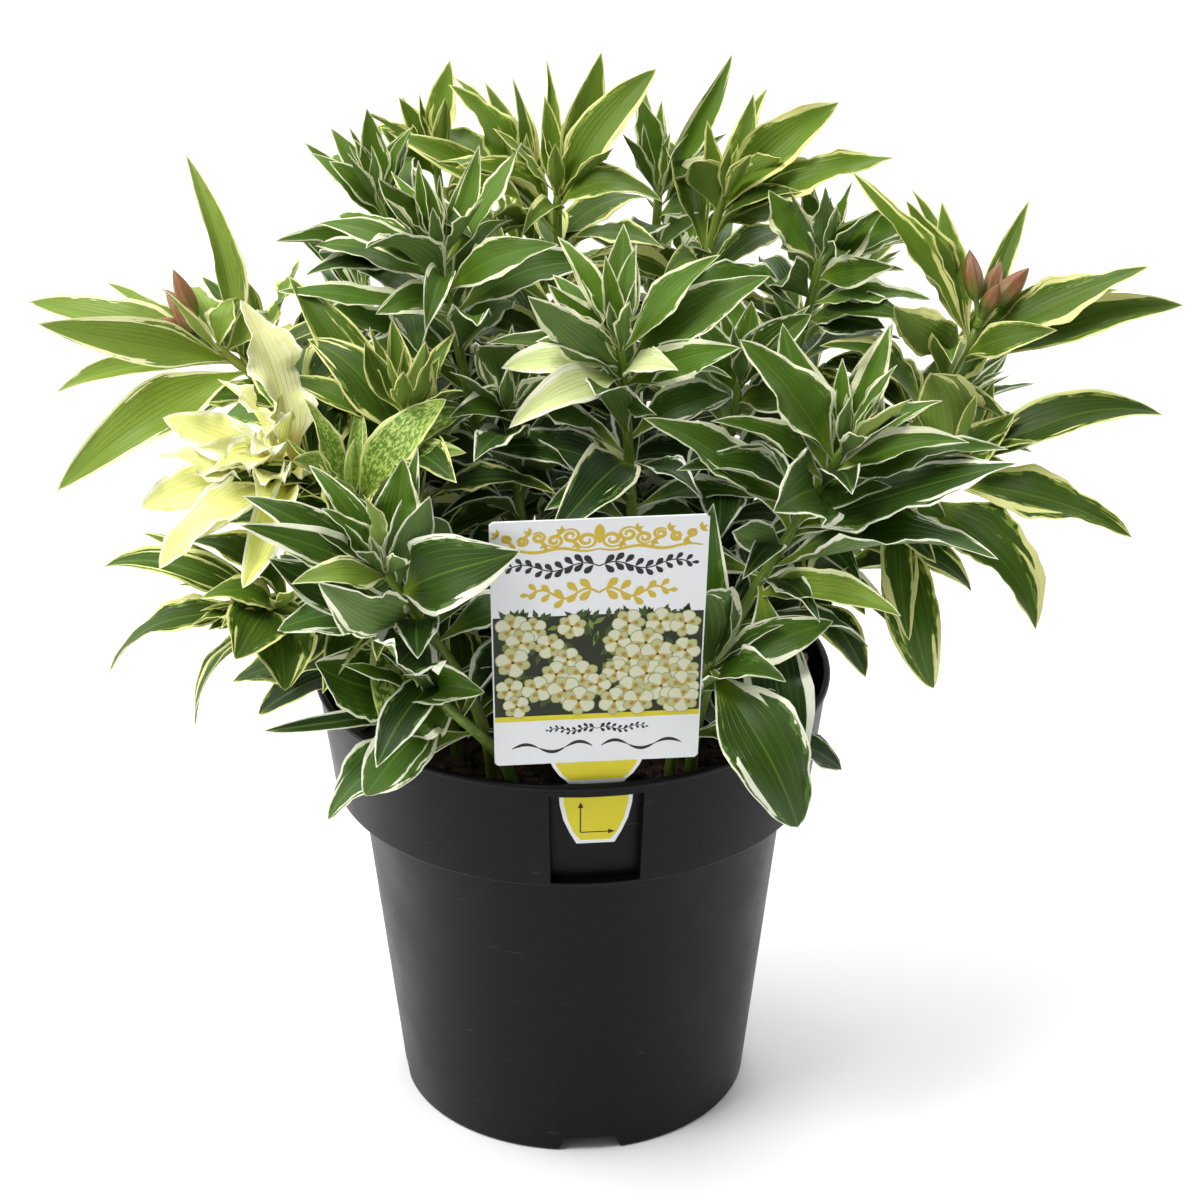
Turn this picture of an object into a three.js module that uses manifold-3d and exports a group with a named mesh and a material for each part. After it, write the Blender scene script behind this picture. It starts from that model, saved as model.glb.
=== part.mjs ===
// A potted Peruvian lily with variegated leaves: a black nursery pot with a clip-in tag, potting mix,
// leafy shoots, clusters of flower buds and the dry stump of an old stem.
// Millimetres, +Z up, origin on the ground under the pot's centre. The front of the plant faces -Y.
import * as THREE from "three";
import { mergeVertices } from "three/addons/utils/BufferGeometryUtils.js";
import Module from "manifold-3d";

const wasm = await Module();
wasm.setup();

// Pot
const RIM_RADIUS = 100;
const POT_HEIGHT = 180;
const COLLAR_FOOT_Z = 134;
const COLLAR_FOOT_RADIUS = 93.5;
const BODY_TOP_RADIUS = 83.5;
const BASE_RADIUS = 69;
const WALL = 1.8;
const LIP_HEIGHT = 2.6;
const LIP_PROUD = 0.8;
const FLOOR_Z = 5;
const FLOOR_THICKNESS = 2;
const STANDING_RING = 5;
const MIDDLE_FOOT_RADIUS = 24;
const POT_SIDES = 40;
const DRAIN_COUNT = 4;
const DRAIN_HOLE_RADIUS = 5;
const DRAIN_RING_RADIUS = 44;
const NOTCH_HEIGHT = 6.5;
const NOTCH_TOP_WIDTH = 19;
const NOTCH_FOOT_WIDTH = 26;

// Tag slot in the collar, turned a little to the right of the front
const SLOT_TURN = 5;
const SLOT_FRONT_HALF_ANGLE = 10.2;
const SLOT_CHEEK_ANGLE = 1.3;
const SLOT_DEPTH = 4.3;
const BAR_HEIGHT = 5.2;
const BAR_THICKNESS = 1.8;

// Tag
const TAG_THICKNESS = 0.8;
const TAG_PANEL_WIDTH_TOP = 76.5;
const TAG_PANEL_WIDTH_FOOT = 73.5;
const TAG_PANEL_HEIGHT = 102;
const TAG_NECK_HEIGHT = 8.5;
const TAG_NECK_TOP_WIDTH = 33;
const TAG_WAIST_WIDTH = 20;
const TAG_WAIST_HEIGHT = 6;
const TAG_TONGUE_WIDTH = 27;
const TAG_TONGUE_FOOT_WIDTH = 14;
const TAG_TONGUE_HEIGHT = 22;

// Potting mix and stems
const MIX_TOP_Z = 158;
const MIX_DOME = 5;
const MIX_LUMP = 1.6;
const MIX_SIDES = 24;
const GAP = 0.32;
const FACET_GAP = 0.62;
const STEM_FOOT_RADIUS = 2.7;
const STEM_TOP_RADIUS = 1.9;
const STEM_SIDES = 5;
const STEM_STEPS = 4;
const STEM_HOLE_RADIUS = 4;
const STEM_HOLE_SIDES = 4;
const STEM_HOLE_DEPTH = 14;

// Leaf blades
const BLADE_STATIONS = [0, 0.22, 0.5, 0.8];
const NARROW_STATIONS = [0, 0.38, 0.74];
const NARROW_WIDTH = 18;
const FREE_FROM = 0.15;
const ROOT_STAGGER = 1.2;
const SHORTEST_EDGE = 0.01;
const FACING = 0.6;
const FEATURE_BREADTH = 1.12;
const BLADE_THICKNESS = 1.2;
const BLADE_ROOT_HALF_WIDTH = 1.1;
const ROOT_OFFSET = 0.9;
const GOLDEN_TURN = 137.5;
const CLEAR_WIDTH = 0.5;
const CLEAR_THICKNESS = 1.1;

// How far leaves differ: roll, twist and cup in degrees, and sideways sway as a share of the length
const ROLL_SPREAD = 24;
const TWIST_SPREAD = 50;
const LEAST_CUP = 10;
const CUP_SPREAD = 22;
const SWAY_SPREAD = 0.14;

// Leaves by rule: the top one's pitch, how far the pitch falls down the stem and by what power, the top one's
// length and what it gains down the stem. Shoots without leaves of their own are steeper.
const RULE_LEAVES = { pitch: 34, fall: 50, power: 1, length: 46, gain: 12 };
const STEEP_RULE_LEAVES = { pitch: 74, fall: 92, power: 0.7, length: 34, gain: 30 };

// A feature leaf's tip is told by how far right, up and near it lies from its shoot's crown, for a viewer
// in front of the pot who looks down by this angle.
const VIEW_TILT = THREE.MathUtils.degToRad(22);
const VIEW_RIGHT = new THREE.Vector3(1, 0, 0);
const VIEW_UP = new THREE.Vector3(0, Math.sin(VIEW_TILT), Math.cos(VIEW_TILT));
const VIEW_NEAR = new THREE.Vector3(0, -Math.cos(VIEW_TILT), Math.sin(VIEW_TILT));

// What a leaf may do to keep clear of its neighbours, tried in this order: swing sideways and lift, in
// degrees, and the share of its length that it keeps.
const DODGES = [
  [0, 0, 1], [7, 0, 1], [-7, 0, 1], [0, 7, 1], [0, -7, 1], [9, 8, 1], [-9, 8, 1], [9, -8, 1], [-9, -8, 1],
  [15, 0, 0.95], [-15, 0, 0.95], [0, 15, 0.95], [0, -15, 0.95], [18, 12, 0.9], [-18, 12, 0.9],
  [24, 0, 0.9], [-24, 0, 0.9], [0, 24, 0.85], [30, 14, 0.85], [-30, 14, 0.85], [0, 0, 0.75],
  [12, 6, 0.75], [-12, 6, 0.75], [0, -24, 0.75], [38, 6, 0.75], [-38, 6, 0.75], [0, 36, 0.75],
];

// Shoots. crown is where the top leaves spread from, foot is where the stem stands in the mix, and lean is
// the stem's direction at its crown. Each row of leaves is
// [distance down the stem, tip right, tip up, tip near, width, bow, roll]: bow above 0 arches over. A leaf
// coloured unlike its shoot ends with its colour, which changes nothing in its shape.
// fill adds leaves by rule: [count, first and last distance down the stem, middle of the fan, half fan].
const SHOOTS = [
  { name: "shoot_left_budding", kind: "gold", crown: [-133, -5, 315], foot: [-52, 2],
    lean: [-0.75, -0.1, 0.65],
    leaves: [
      [16, -7, 71, -8, 14, -3, 30], [5, -68, 25, -8, 14, 5, 10], [9, -67, 15, 10, 17, 4, -15],
      [14, -56, -55, 24, 18, 16, 0], [12, -65, -17, -16, 10, 6, 0], [3, -40, 31, -14, 6, 3, 0],
      [4, -32, 34, 16, 6, -5, 0], [4, -25, 24, -16, 12, 9, 20], [6, 21, 10, -24, 12, 6, 0],
      [2, 3, 22, -8, 12, 6, -20],
    ],
    fill: [3, 16, 70, 100, 80] },
  { name: "shoot_cream", kind: "cream", crown: [-110, -52, 287], foot: [-52, -28],
    lean: [-0.8, -0.35, 0.45],
    leaves: [
      [14, -7, 59, 4, 18, 3, 20], [6, -14, 32, 12, 11, 5, 40], [3, -36, 16, 10, 14, 4, -10],
      [3, -34, 8, 20, 11, 2, 10], [1, -22, 12, 22, 7, 2, 0], [7, -45, -13, 14, 15, 5, 0],
      [8, -41, -36, 16, 12, 9, 15], [10, -11, -43, 24, 15, 8, 0], [9, -28, -28, 8, 11, 8, 0],
      [1, -17, 0, 24, 11, 5, 30], [2, -3, 6, 26, 10, 4, -30],
    ],
    fill: [2, 18, 60, 90, 70] },
  { name: "shoot_mottled", kind: "mottled", crown: [-80, -62, 278], foot: [-44, -44],
    lean: [-0.3, -0.3, 0.9],
    leaves: [
      [6, 34, 37, 4, 15, 6, 10], [12, 42, 33, -10, 22, 8, -20], [2, -13, 36, 8, 9, 2, 0],
      [5, -20, 16, 14, 10, 4, 0],
    ],
    fill: [3, 10, 55, 60, 150] },
  { name: "shoot_upper_left", kind: "white", crown: [-48, -8, 352], foot: [-24, 2], lean: [-0.15, -0.1, 1],
    leaves: [
      [4, -18, 24, 12, 16, -5, 20], [5, 29, 39, 6, 12, -2, -20], [3, 17, 38, -6, 9, -2, 0],
      [2, -11, 31, 4, 7, -1, 0], [2, -3, 27, 8, 7, -1, 20], [8, -40, 18, 8, 12, 5, 0],
      [14, 43, 3, 18, 13, 7, 0], [10, -8, -29, 24, 11, 10, 0], [13, -47, 5, -12, 11, 5, 0],
      [9, -45, 15, -22, 10, 4, 0], [24, -61, -11, -10, 9, 4, 0], [18, -23, -23, 8, 12, 6, 0],
    ],
    fill: [3, 20, 120, 80, 110] },
  { name: "shoot_left_back", kind: "white", crown: [-72, 30, 360], foot: [-42, 26], lean: [-0.25, 0.05, 1],
    leaves: [
      [3, -2, 31, 8, 11, -2, 0], [4, -15, 28, -8, 8, -1, 0], [3, -11, 20, 6, 7, 0, 0],
      [7, -23, 18, 6, 9, 2, 0], [6, -19, 10, 12, 9, 3, 0], [3, 10, 27, -6, 9, -1, 0],
    ],
    fill: [4, 5, 130, 120, 120] },
  { name: "shoot_left_rear", kind: "gold", crown: [-53, 80, 362], foot: [-36, 54], lean: [-0.15, 0.2, 1],
    leaves: [
      [3, 6, 33, 6, 11, -2, 0], [4, -13, 20, 4, 8, 0, 0], [3, -10, 19, -8, 8, 0, 0],
      [6, -20, 8, 10, 9, 2, 0],
    ],
    fill: [5, 5, 130, 100, 150] },
  { name: "shoot_top_left", kind: "gold", crown: [-16, 74, 352], foot: [-12, 58], lean: [-0.1, 0.1, 1],
    leaves: [
      [5, -27, 38, 10, 16, 2, 10], [3, -26, 44, -4, 8, 1, 0], [3, -17, 39, -10, 8, 0, 0],
      [2, -7, 38, 8, 6, 0, 0], [10, -55, 19, 12, 11, 6, 0], [2, -2, 31, 0, 8, 0, 0],
    ],
    fill: [3, 6, 120, 90, 120] },
  { name: "shoot_top_centre", kind: "gold", crown: [-5, 34, 362], foot: [-6, 26], lean: [0, -0.05, 1],
    leaves: [
      [4, 17, 48, 8, 13, -3, 30], [3, 23, 48, -6, 8, 0, 0], [2, -2, 49, -9, 7, -1, 0],
      [2, -4, 33, 6, 8, -1, 0], [6, 42, 41, 4, 17, 4, 0], [7, 42, -2, 16, 13, 13, 0],
      [8, -14, -18, 20, 9, 8, 0],
    ],
    fill: [3, 14, 130, 90, 130] },
  { name: "shoot_top_right", kind: "white", crown: [34, 72, 350], foot: [22, 52], lean: [0.05, 0.1, 1],
    leaves: [
      [4, 29, 50, 6, 10, 2, 20], [3, -5, 33, 9, 12, -2, 0], [3, -8, 45, -8, 7, 0, 0],
      [2, 2, 37, -10, 7, 0, 0], [12, 28, -9, 18, 11, 6, 0], [3, 12, 30, 2, 10, -1, 0],
    ],
    fill: [3, 6, 120, 90, 120] },
  { name: "shoot_upper_right", kind: "gold", crown: [58, 46, 356], foot: [38, 36], lean: [0.25, 0, 1],
    leaves: [
      [2, 19, 41, -8, 7, -1, 0], [3, 12, 36, 2, 9, -1, 0], [5, 44, 34, 4, 18, 9, 0],
      [9, 60, 22, 12, 15, 9, 0], [8, 45, 13, -8, 11, 5, 0], [6, 21, 12, 18, 12, 4, 0],
      [5, -13, 12, 14, 14, 2, 0],
    ],
    fill: [3, 10, 130, 80, 120] },
  { name: "shoot_right_high", kind: "white", crown: [94, 24, 340], foot: [54, 24], lean: [0.15, -0.1, 1],
    leaves: [
      [4, -19, 23, 5, 14, -2, 0], [2, -1, 23, 9, 12, -3, 0], [2, -7, 27, -8, 7, 0, 0],
      [3, 17, 19, 8, 13, -2, 30], [6, 41, 13, -14, 12, 6, 0], [5, 37, 9, -8, 10, 3, 0],
      [9, 25, -7, 16, 11, 3, 40], [3, 5, -2, 20, 8, 5, 0], [22, 40, -15, 10, 10, 4, 0],
      [18, -17, -12, 12, 16, 5, 0], [26, 22, -30, 4, 13, 4, 0],
    ],
    fill: [3, 24, 110, 80, 110] },
  { name: "shoot_right_budding", kind: "gold", crown: [151, 6, 316], foot: [68, 6],
    lean: [0.3, -0.15, 0.95],
    leaves: [
      [5, -43, 60, 8, 13, 2, 30], [4, -19, 47, 10, 14, -3, 10], [3, -15, 47, -7, 11, -2, 0],
      [3, -17, 57, -12, 8, -2, 0], [2, 10, 43, 12, 10, -4, 20], [2, 18, 31, 6, 6, -1, 0],
      [3, 24, 48, -11, 8, -4, 0], [7, 58, 31, 12, 16, 5, -10], [9, 60, 15, -10, 7, 3, 0],
      [14, 80, 9, 10, 18, 6, -10], [10, 27, -1, 20, 11, 5, 0], [8, -33, 9, 20, 18, -4, 0],
    ],
    fill: [3, 16, 90, 80, 90] },
  { name: "shoot_centre", kind: "white", crown: [17, -46, 332], foot: [23, -34], lean: [-0.1, -0.2, 1],
    leaves: [
      [4, -21, 38, -5, 9, 2, 0], [3, 4, 41, -8, 12, -2, 0], [1, -7, 28, 5, 7, -1, 0],
      [3, -19, 21, 7, 12, -2, 10], [5, 33, 30, 12, 15, -2, -20], [12, 53, 23, 4, 18, 3, -10],
      [5, -22, 26, -2, 9, 1, 0], [7, -31, 18, 16, 17, -7, 20], [12, -43, -7, 0, 12, 7, 0, "cream"],
      [15, -41, -30, 14, 14, 8, 0, "cream"], [11, -53, -6, 8, 11, 3, 0], [16, 44, -2, 14, 13, 3, 20],
      [14, 22, -9, 18, 12, 3, -20, "cream"], [26, 12, -28, 10, 9, 4, 60],
      [50, -25, -70, 20, 18, 12, 0, "half"],
    ],
    fill: [3, 22, 120, 90, 100] },
  { name: "shoot_right_front", kind: "white", crown: [97, -68, 300], foot: [44, -60],
    lean: [0.35, -0.25, 0.85],
    leaves: [
      [8, -37, 38, 9, 18, 4, 10], [7, -23, 43, -5, 17, 0, 0], [4, 15, 42, 0, 11, -2, 0],
      [3, 18, 43, -10, 12, -2, 0], [2, 16, 28, 8, 7, -1, 0], [1, 20, 19, 13, 10, -3, 20, "fresh"],
      [3, 32, 18, 4, 9, 0, 0], [9, 42, 7, 12, 13, 3, 0], [17, -46, 12, 12, 14, 4, 0],
      [30, -62, 12, 24, 17, -7, 0], [24, -27, -22, 36, 24, 8, 0], [28, 56, 2, 8, 15, 5, 0],
      [40, 58, -5, 18, 27, 4, -15], [57, 49, -28, 18, 26, 2, -20], [46, -44, -24, 22, 12, -4, 30],
      [68, 18, -58, 14, 15, 5, 0, "fresh"], [66, -17, -127, -8, 20, 8, 0],
    ],
    fill: [3, 14, 90, 70, 90] },
  { name: "shoot_left_front", kind: "white", crown: [-66, -100, 268], foot: [-30, -66],
    lean: [-0.3, -0.45, 0.85],
    leaves: [
      [16, 46, 5, 26, 24, 6, 0], [4, 7, 36, 4, 16, -2, 0], [22, 20, 22, 6, 19, 3, 0],
      [4, -23, 38, -3, 11, 2, 0], [6, -43, 32, 8, 12, 2, 0], [4, -28, 22, 1, 10, 2, 0],
      [9, 19, 22, 17, 13, -3, 10], [3, 15, 40, -7, 8, -1, 0], [8, -53, 11, 13, 12, 3, 0],
      [5, -42, 6, 20, 13, 2, 10, "fresh"], [2, -6, 25, 15, 8, -1, 0, "fresh"], [22, -22, 8, 24, 20, -12, 0],
      [26, -37, 3, 12, 15, -9, 0], [38, 2, -29, 30, 22, -6, 0],
    ],
    fill: [3, 14, 90, 60, 100] },
  { name: "shoot_low_left", kind: "gold", crown: [-112, -66, 236], foot: [-60, -44],
    lean: [-0.8, -0.45, 0.3],
    leaves: [
      [6, -64, -11, 8, 12, 9, 15], [8, -62, 22, -4, 13, 5, 0], [10, -52, 25, -14, 7, 4, 0],
      [9, -35, -34, 6, 13, 8, 40], [3, -7, -16, 30, 19, 4, 0], [5, 10, -25, 22, 23, 6, 0],
      [4, -20, 10, 18, 12, 6, 0], [2, -16, -6, 14, 10, 5, 0],
    ],
    fill: [3, 12, 56, 110, 80] },
  { name: "shoot_gold_small", kind: "gold", crown: [-60, -44, 306], foot: [-38, -20], lean: [0, -0.1, 1],
    leaves: [
      [3, -13, 22, 8, 10, -3, 0], [3, -4, 31, -6, 10, -2, 0], [3, 7, 23, 10, 10, -3, 0],
      [3, 12, 17, 0, 10, -3, 0],
      [12, -50, 14, -16, 9, 3, 0], [40, -34, 52, -6, 21, 2, 20],
    ],
    fill: [2, 16, 90, 70, 140] },
  { name: "shoot_right_low", kind: "gold", crown: [146, -18, 275], foot: [70, -16], lean: [0.6, -0.2, 0.7],
    leaves: [
      [8, 74, 22, 5, 18, 5, -10], [15, 62, -30, 8, 17, 6, 10], [24, 31, -62, 14, 23, 8, 0],
      [4, 17, 15, 12, 15, 2, 0], [6, 19, -5, -5, 6, 2, 0], [5, -12, 34, 14, 27, 2, 0],
      [36, -11, -88, 12, 17, 10, 0], [32, -25, -68, 18, 12, 8, 0],
    ],
    fill: [3, 12, 80, 70, 80] },
  { name: "shoot_low_front", kind: "white", crown: [50, -84, 222], foot: [36, -66],
    lean: [0.25, -0.35, 0.9],
    leaves: [
      [3, 34, -61, 15, 25, 13, 0], [2, -4, 29, 26, 26, 4, 0], [6, 0, 57, 4, 15, 2, 0],
      [12, 34, -14, 12, 16, 5, 0], [5, 46, 10, 4, 14, 5, 0],
    ],
    fill: [2, 14, 40, 330, 60] },
  { name: "shoot_low_front_left", kind: "white", crown: [-52, -86, 214], foot: [-22, -74],
    lean: [-0.4, -0.3, 0.8],
    leaves: [
      [4, -38, 12, 20, 23, -11, 0], [14, -24, -42, 2, 17, 9, 0], [9, -12, -18, 2, 18, 5, 0],
      [12, -60, -16, 2, 8, 3, 0], [10, -42, -17, 0, 12, 4, 0], [2, 22, 1, 26, 20, 4, 0],
      [3, -6, 10, 4, 13, 3, 0],
    ],
    fill: [2, 8, 30, 150, 60] },
  { name: "shoot_inner_right", kind: "white", crown: [112, -8, 268], foot: [57, -4], lean: [0.4, -0.2, 0.8],
    leaves: [
      [3, 14, 18, 12, 15, 4, 0], [5, -16, 10, 16, 15, 4, 0], [8, 30, -24, 10, 16, 7, 0],
      [12, -6, -22, 18, 16, 6, 0],
      [6, 34, 4, -4, 14, 4, 0],
    ],
    fill: [3, 14, 90, 300, 100] },
  { name: "shoot_inner_left", kind: "gold", crown: [-92, 12, 268], foot: [-68, -8], lean: [-0.3, -0.1, 0.9],
    leaves: [
      [3, -12, 24, 8, 15, 4, 0], [5, 14, 12, 14, 16, 4, 0], [8, -32, -6, 8, 15, 6, 0],
      [12, 2, -20, 18, 17, 6, 0],
    ],
    fill: [3, 14, 90, 200, 100] },
  { name: "shoot_middle_left", kind: "white", crown: [-24, -30, 300], foot: [-14, -22],
    lean: [-0.1, -0.3, 1],
    leaves: [
      [4, -8, 24, 16, 22, 6, 0], [6, 22, 4, 18, 15, 5, 0], [8, -24, -4, 14, 16, 6, 0],
      [3, 12, 22, 2, 13, 0, 0],
    ],
    fill: [3, 8, 110, 250, 150] },
  { name: "shoot_middle_right", kind: "white", crown: [62, -18, 306], foot: [40, -8], lean: [0.1, -0.2, 1],
    leaves: [
      [4, 26, 22, 8, 16, 4, 0], [6, -16, 24, 8, 14, 2, 0], [8, 34, -4, 12, 18, 5, 0],
      [3, 4, 28, 0, 12, 0, 0],
    ],
    fill: [3, 8, 110, 300, 150] },
  { name: "shoot_rear_left", kind: "gold", crown: [-122, 54, 296], foot: [-60, 40], lean: [-0.6, 0.3, 0.8],
    leaves: [], fill: [9, 2, 110, 150, 180] },
  { name: "shoot_rear_left_outer", kind: "white", crown: [-86, 116, 294], foot: [-46, 64],
    lean: [-0.4, 0.5, 0.8],
    leaves: [], fill: [9, 2, 110, 120, 180] },
  { name: "shoot_rear_centre", kind: "gold", crown: [-22, 134, 306], foot: [-12, 74],
    lean: [-0.1, 0.5, 0.85],
    leaves: [], fill: [9, 2, 120, 90, 180] },
  { name: "shoot_rear_right", kind: "white", crown: [48, 128, 304], foot: [22, 72], lean: [0.15, 0.5, 0.85],
    leaves: [], fill: [9, 2, 120, 60, 180] },
  { name: "shoot_rear_right_outer", kind: "gold", crown: [108, 92, 304], foot: [52, 54],
    lean: [0.5, 0.4, 0.8],
    leaves: [], fill: [9, 2, 110, 40, 180] },
  { name: "shoot_rear_right_low", kind: "white", crown: [150, 52, 268], foot: [70, 30],
    lean: [0.7, 0.2, 0.6],
    leaves: [], fill: [9, 2, 90, 20, 180] },
];

// Clusters of flower buds on two of the crowns: tips told as for leaves, then each bud's width
const BUD_CLUSTERS = [
  { name: "buds_left", shoot: "shoot_left_budding",
    buds: [[-13, 27, 6, 8], [-12, 14, 13, 9], [-21, 8, 8, 9], [-17, 20, -4, 8]] },
  { name: "buds_right", shoot: "shoot_right_budding",
    buds: [[-3, 29, 2, 8], [19, 22, 4, 9], [7, 16, 12, 6], [10, 25, -7, 7]] },
];
const BUD_STALK_RADIUS = 1.3;
const BUD_SIDES = 6;
const BUD_START = 4;

// The dry stump of an old stem
const STUMP_FOOT = new THREE.Vector3(82, -20, MIX_TOP_Z - STEM_HOLE_DEPTH + GAP);
const STUMP_TOP = new THREE.Vector3(87, -26, 196);
const STUMP_RADIUS = 3.1;
const STUMP_HOLE_RADIUS = 4.9;

// A repeatable draw from 0 to 1 for a use of a leaf of a shoot
function draw(shoot, leaf, use) {
  let h = Math.imul(shoot + 1, 374761393) ^ Math.imul(leaf + 1, 668265263) ^ Math.imul(use + 1, 1442695041);
  h = Math.imul(h ^ (h >>> 13), 1274126177);
  return ((h ^ (h >>> 16)) >>> 0) / 4294967296;
}

// A closed three.js geometry as a solid
function solidOf(geometry) {
  const plain = (geometry.index ? geometry.toNonIndexed() : geometry).clone();
  plain.deleteAttribute("normal");
  plain.deleteAttribute("uv");
  const merged = mergeVertices(plain, 1e-4);
  return new wasm.Manifold(
    new wasm.Mesh({
      numProp: 3,
      vertProperties: merged.attributes.position.array,
      triVerts: new Uint32Array(merged.index.array),
    }),
  );
}

// A solid as a three.js geometry
function geometryOf(solid) {
  const mesh = solid.getMesh();
  const positions = new Float32Array(mesh.numVert * 3);
  for (let i = 0; i < mesh.numVert; i++)
    positions.set(mesh.vertProperties.subarray(i * mesh.numProp, i * mesh.numProp + 3), i * 3);
  const geometry = new THREE.BufferGeometry();
  geometry.setAttribute("position", new THREE.BufferAttribute(positions, 3));
  geometry.setIndex(new THREE.BufferAttribute(new Uint32Array(mesh.triVerts), 1));
  geometry.computeVertexNormals();
  return geometry;
}

// A solid from rings of points, capped at both ends; a ring of one point is a tip
function solidOfRings(rings) {
  const points = rings.flat();
  const triangles = [];
  let start = 0;
  for (let r = 0; r + 1 < rings.length; r++) {
    const n = rings[r].length;
    const next = start + n;
    const m = rings[r + 1].length;
    for (let k = 0; k < n; k++) {
      const l = (k + 1) % n;
      if (m === 1) triangles.push([start + k, start + l, next]);
      else triangles.push([start + k, start + l, next + k], [start + l, next + l, next + k]);
    }
    start = next;
  }
  for (let k = 1; k + 1 < rings[0].length; k++) triangles.push([0, k + 1, k]);
  const last = rings[rings.length - 1].length;
  for (let k = 1; k + 1 < last; k++) triangles.push([start, start + k, start + k + 1]);
  const build = (faces) =>
    new wasm.Manifold(
      new wasm.Mesh({
        numProp: 3,
        vertProperties: new Float32Array(points.flatMap((p) => [p.x, p.y, p.z])),
        triVerts: new Uint32Array(faces.flat()),
      }),
    );
  const solid = build(triangles);
  return solid.volume() > 0 ? solid : build(triangles.map(([a, b, c]) => [a, c, b]));
}

// Part of a ring about the z axis, between two radii at its foot and two at its top
function ringSector(inFoot, outFoot, inTop, outTop, z0, z1, middle, half, steps) {
  const ring = (rIn, rOut, z) => {
    const points = [];
    for (let i = 0; i <= steps; i++) points.push([rOut, middle - half + (2 * half * i) / steps]);
    for (let i = steps; i >= 0; i--) points.push([rIn, middle - half + (2 * half * i) / steps]);
    return points.map(([r, a]) => {
      const turn = THREE.MathUtils.degToRad(a - 90);
      return new THREE.Vector3(r * Math.cos(turn), r * Math.sin(turn), z);
    });
  };
  const foot = ring(inFoot, outFoot, z0);
  const top = ring(inTop, outTop, z1);
  const n = foot.length;
  const faces = [];
  for (let k = 0; k < n; k++) {
    const l = (k + 1) % n;
    faces.push([k, l, n + k], [l, n + l, n + k]);
  }
  for (let i = 0; i < steps; i++) {
    const [a, b, c, d] = [i, i + 1, n - 2 - i, n - 1 - i];
    faces.push([a, c, b], [a, d, c], [n + a, n + b, n + c], [n + a, n + c, n + d]);
  }
  return new wasm.Manifold(
    new wasm.Mesh({
      numProp: 3,
      vertProperties: new Float32Array([...foot, ...top].flatMap((p) => [p.x, p.y, p.z])),
      triVerts: new Uint32Array(faces.flat()),
    }),
  );
}

// The collar's outer radius at a height
function collarRadius(z) {
  const share = (z - COLLAR_FOOT_Z) / (POT_HEIGHT - COLLAR_FOOT_Z);
  return COLLAR_FOOT_RADIUS + (RIM_RADIUS - LIP_PROUD - COLLAR_FOOT_RADIUS) * share;
}

function latheSolid(profile, sides) {
  const lathe = new THREE.LatheGeometry(profile.map(([r, z]) => new THREE.Vector2(r, z)), sides);
  lathe.rotateX(Math.PI / 2);
  return solidOf(lathe);
}

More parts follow.
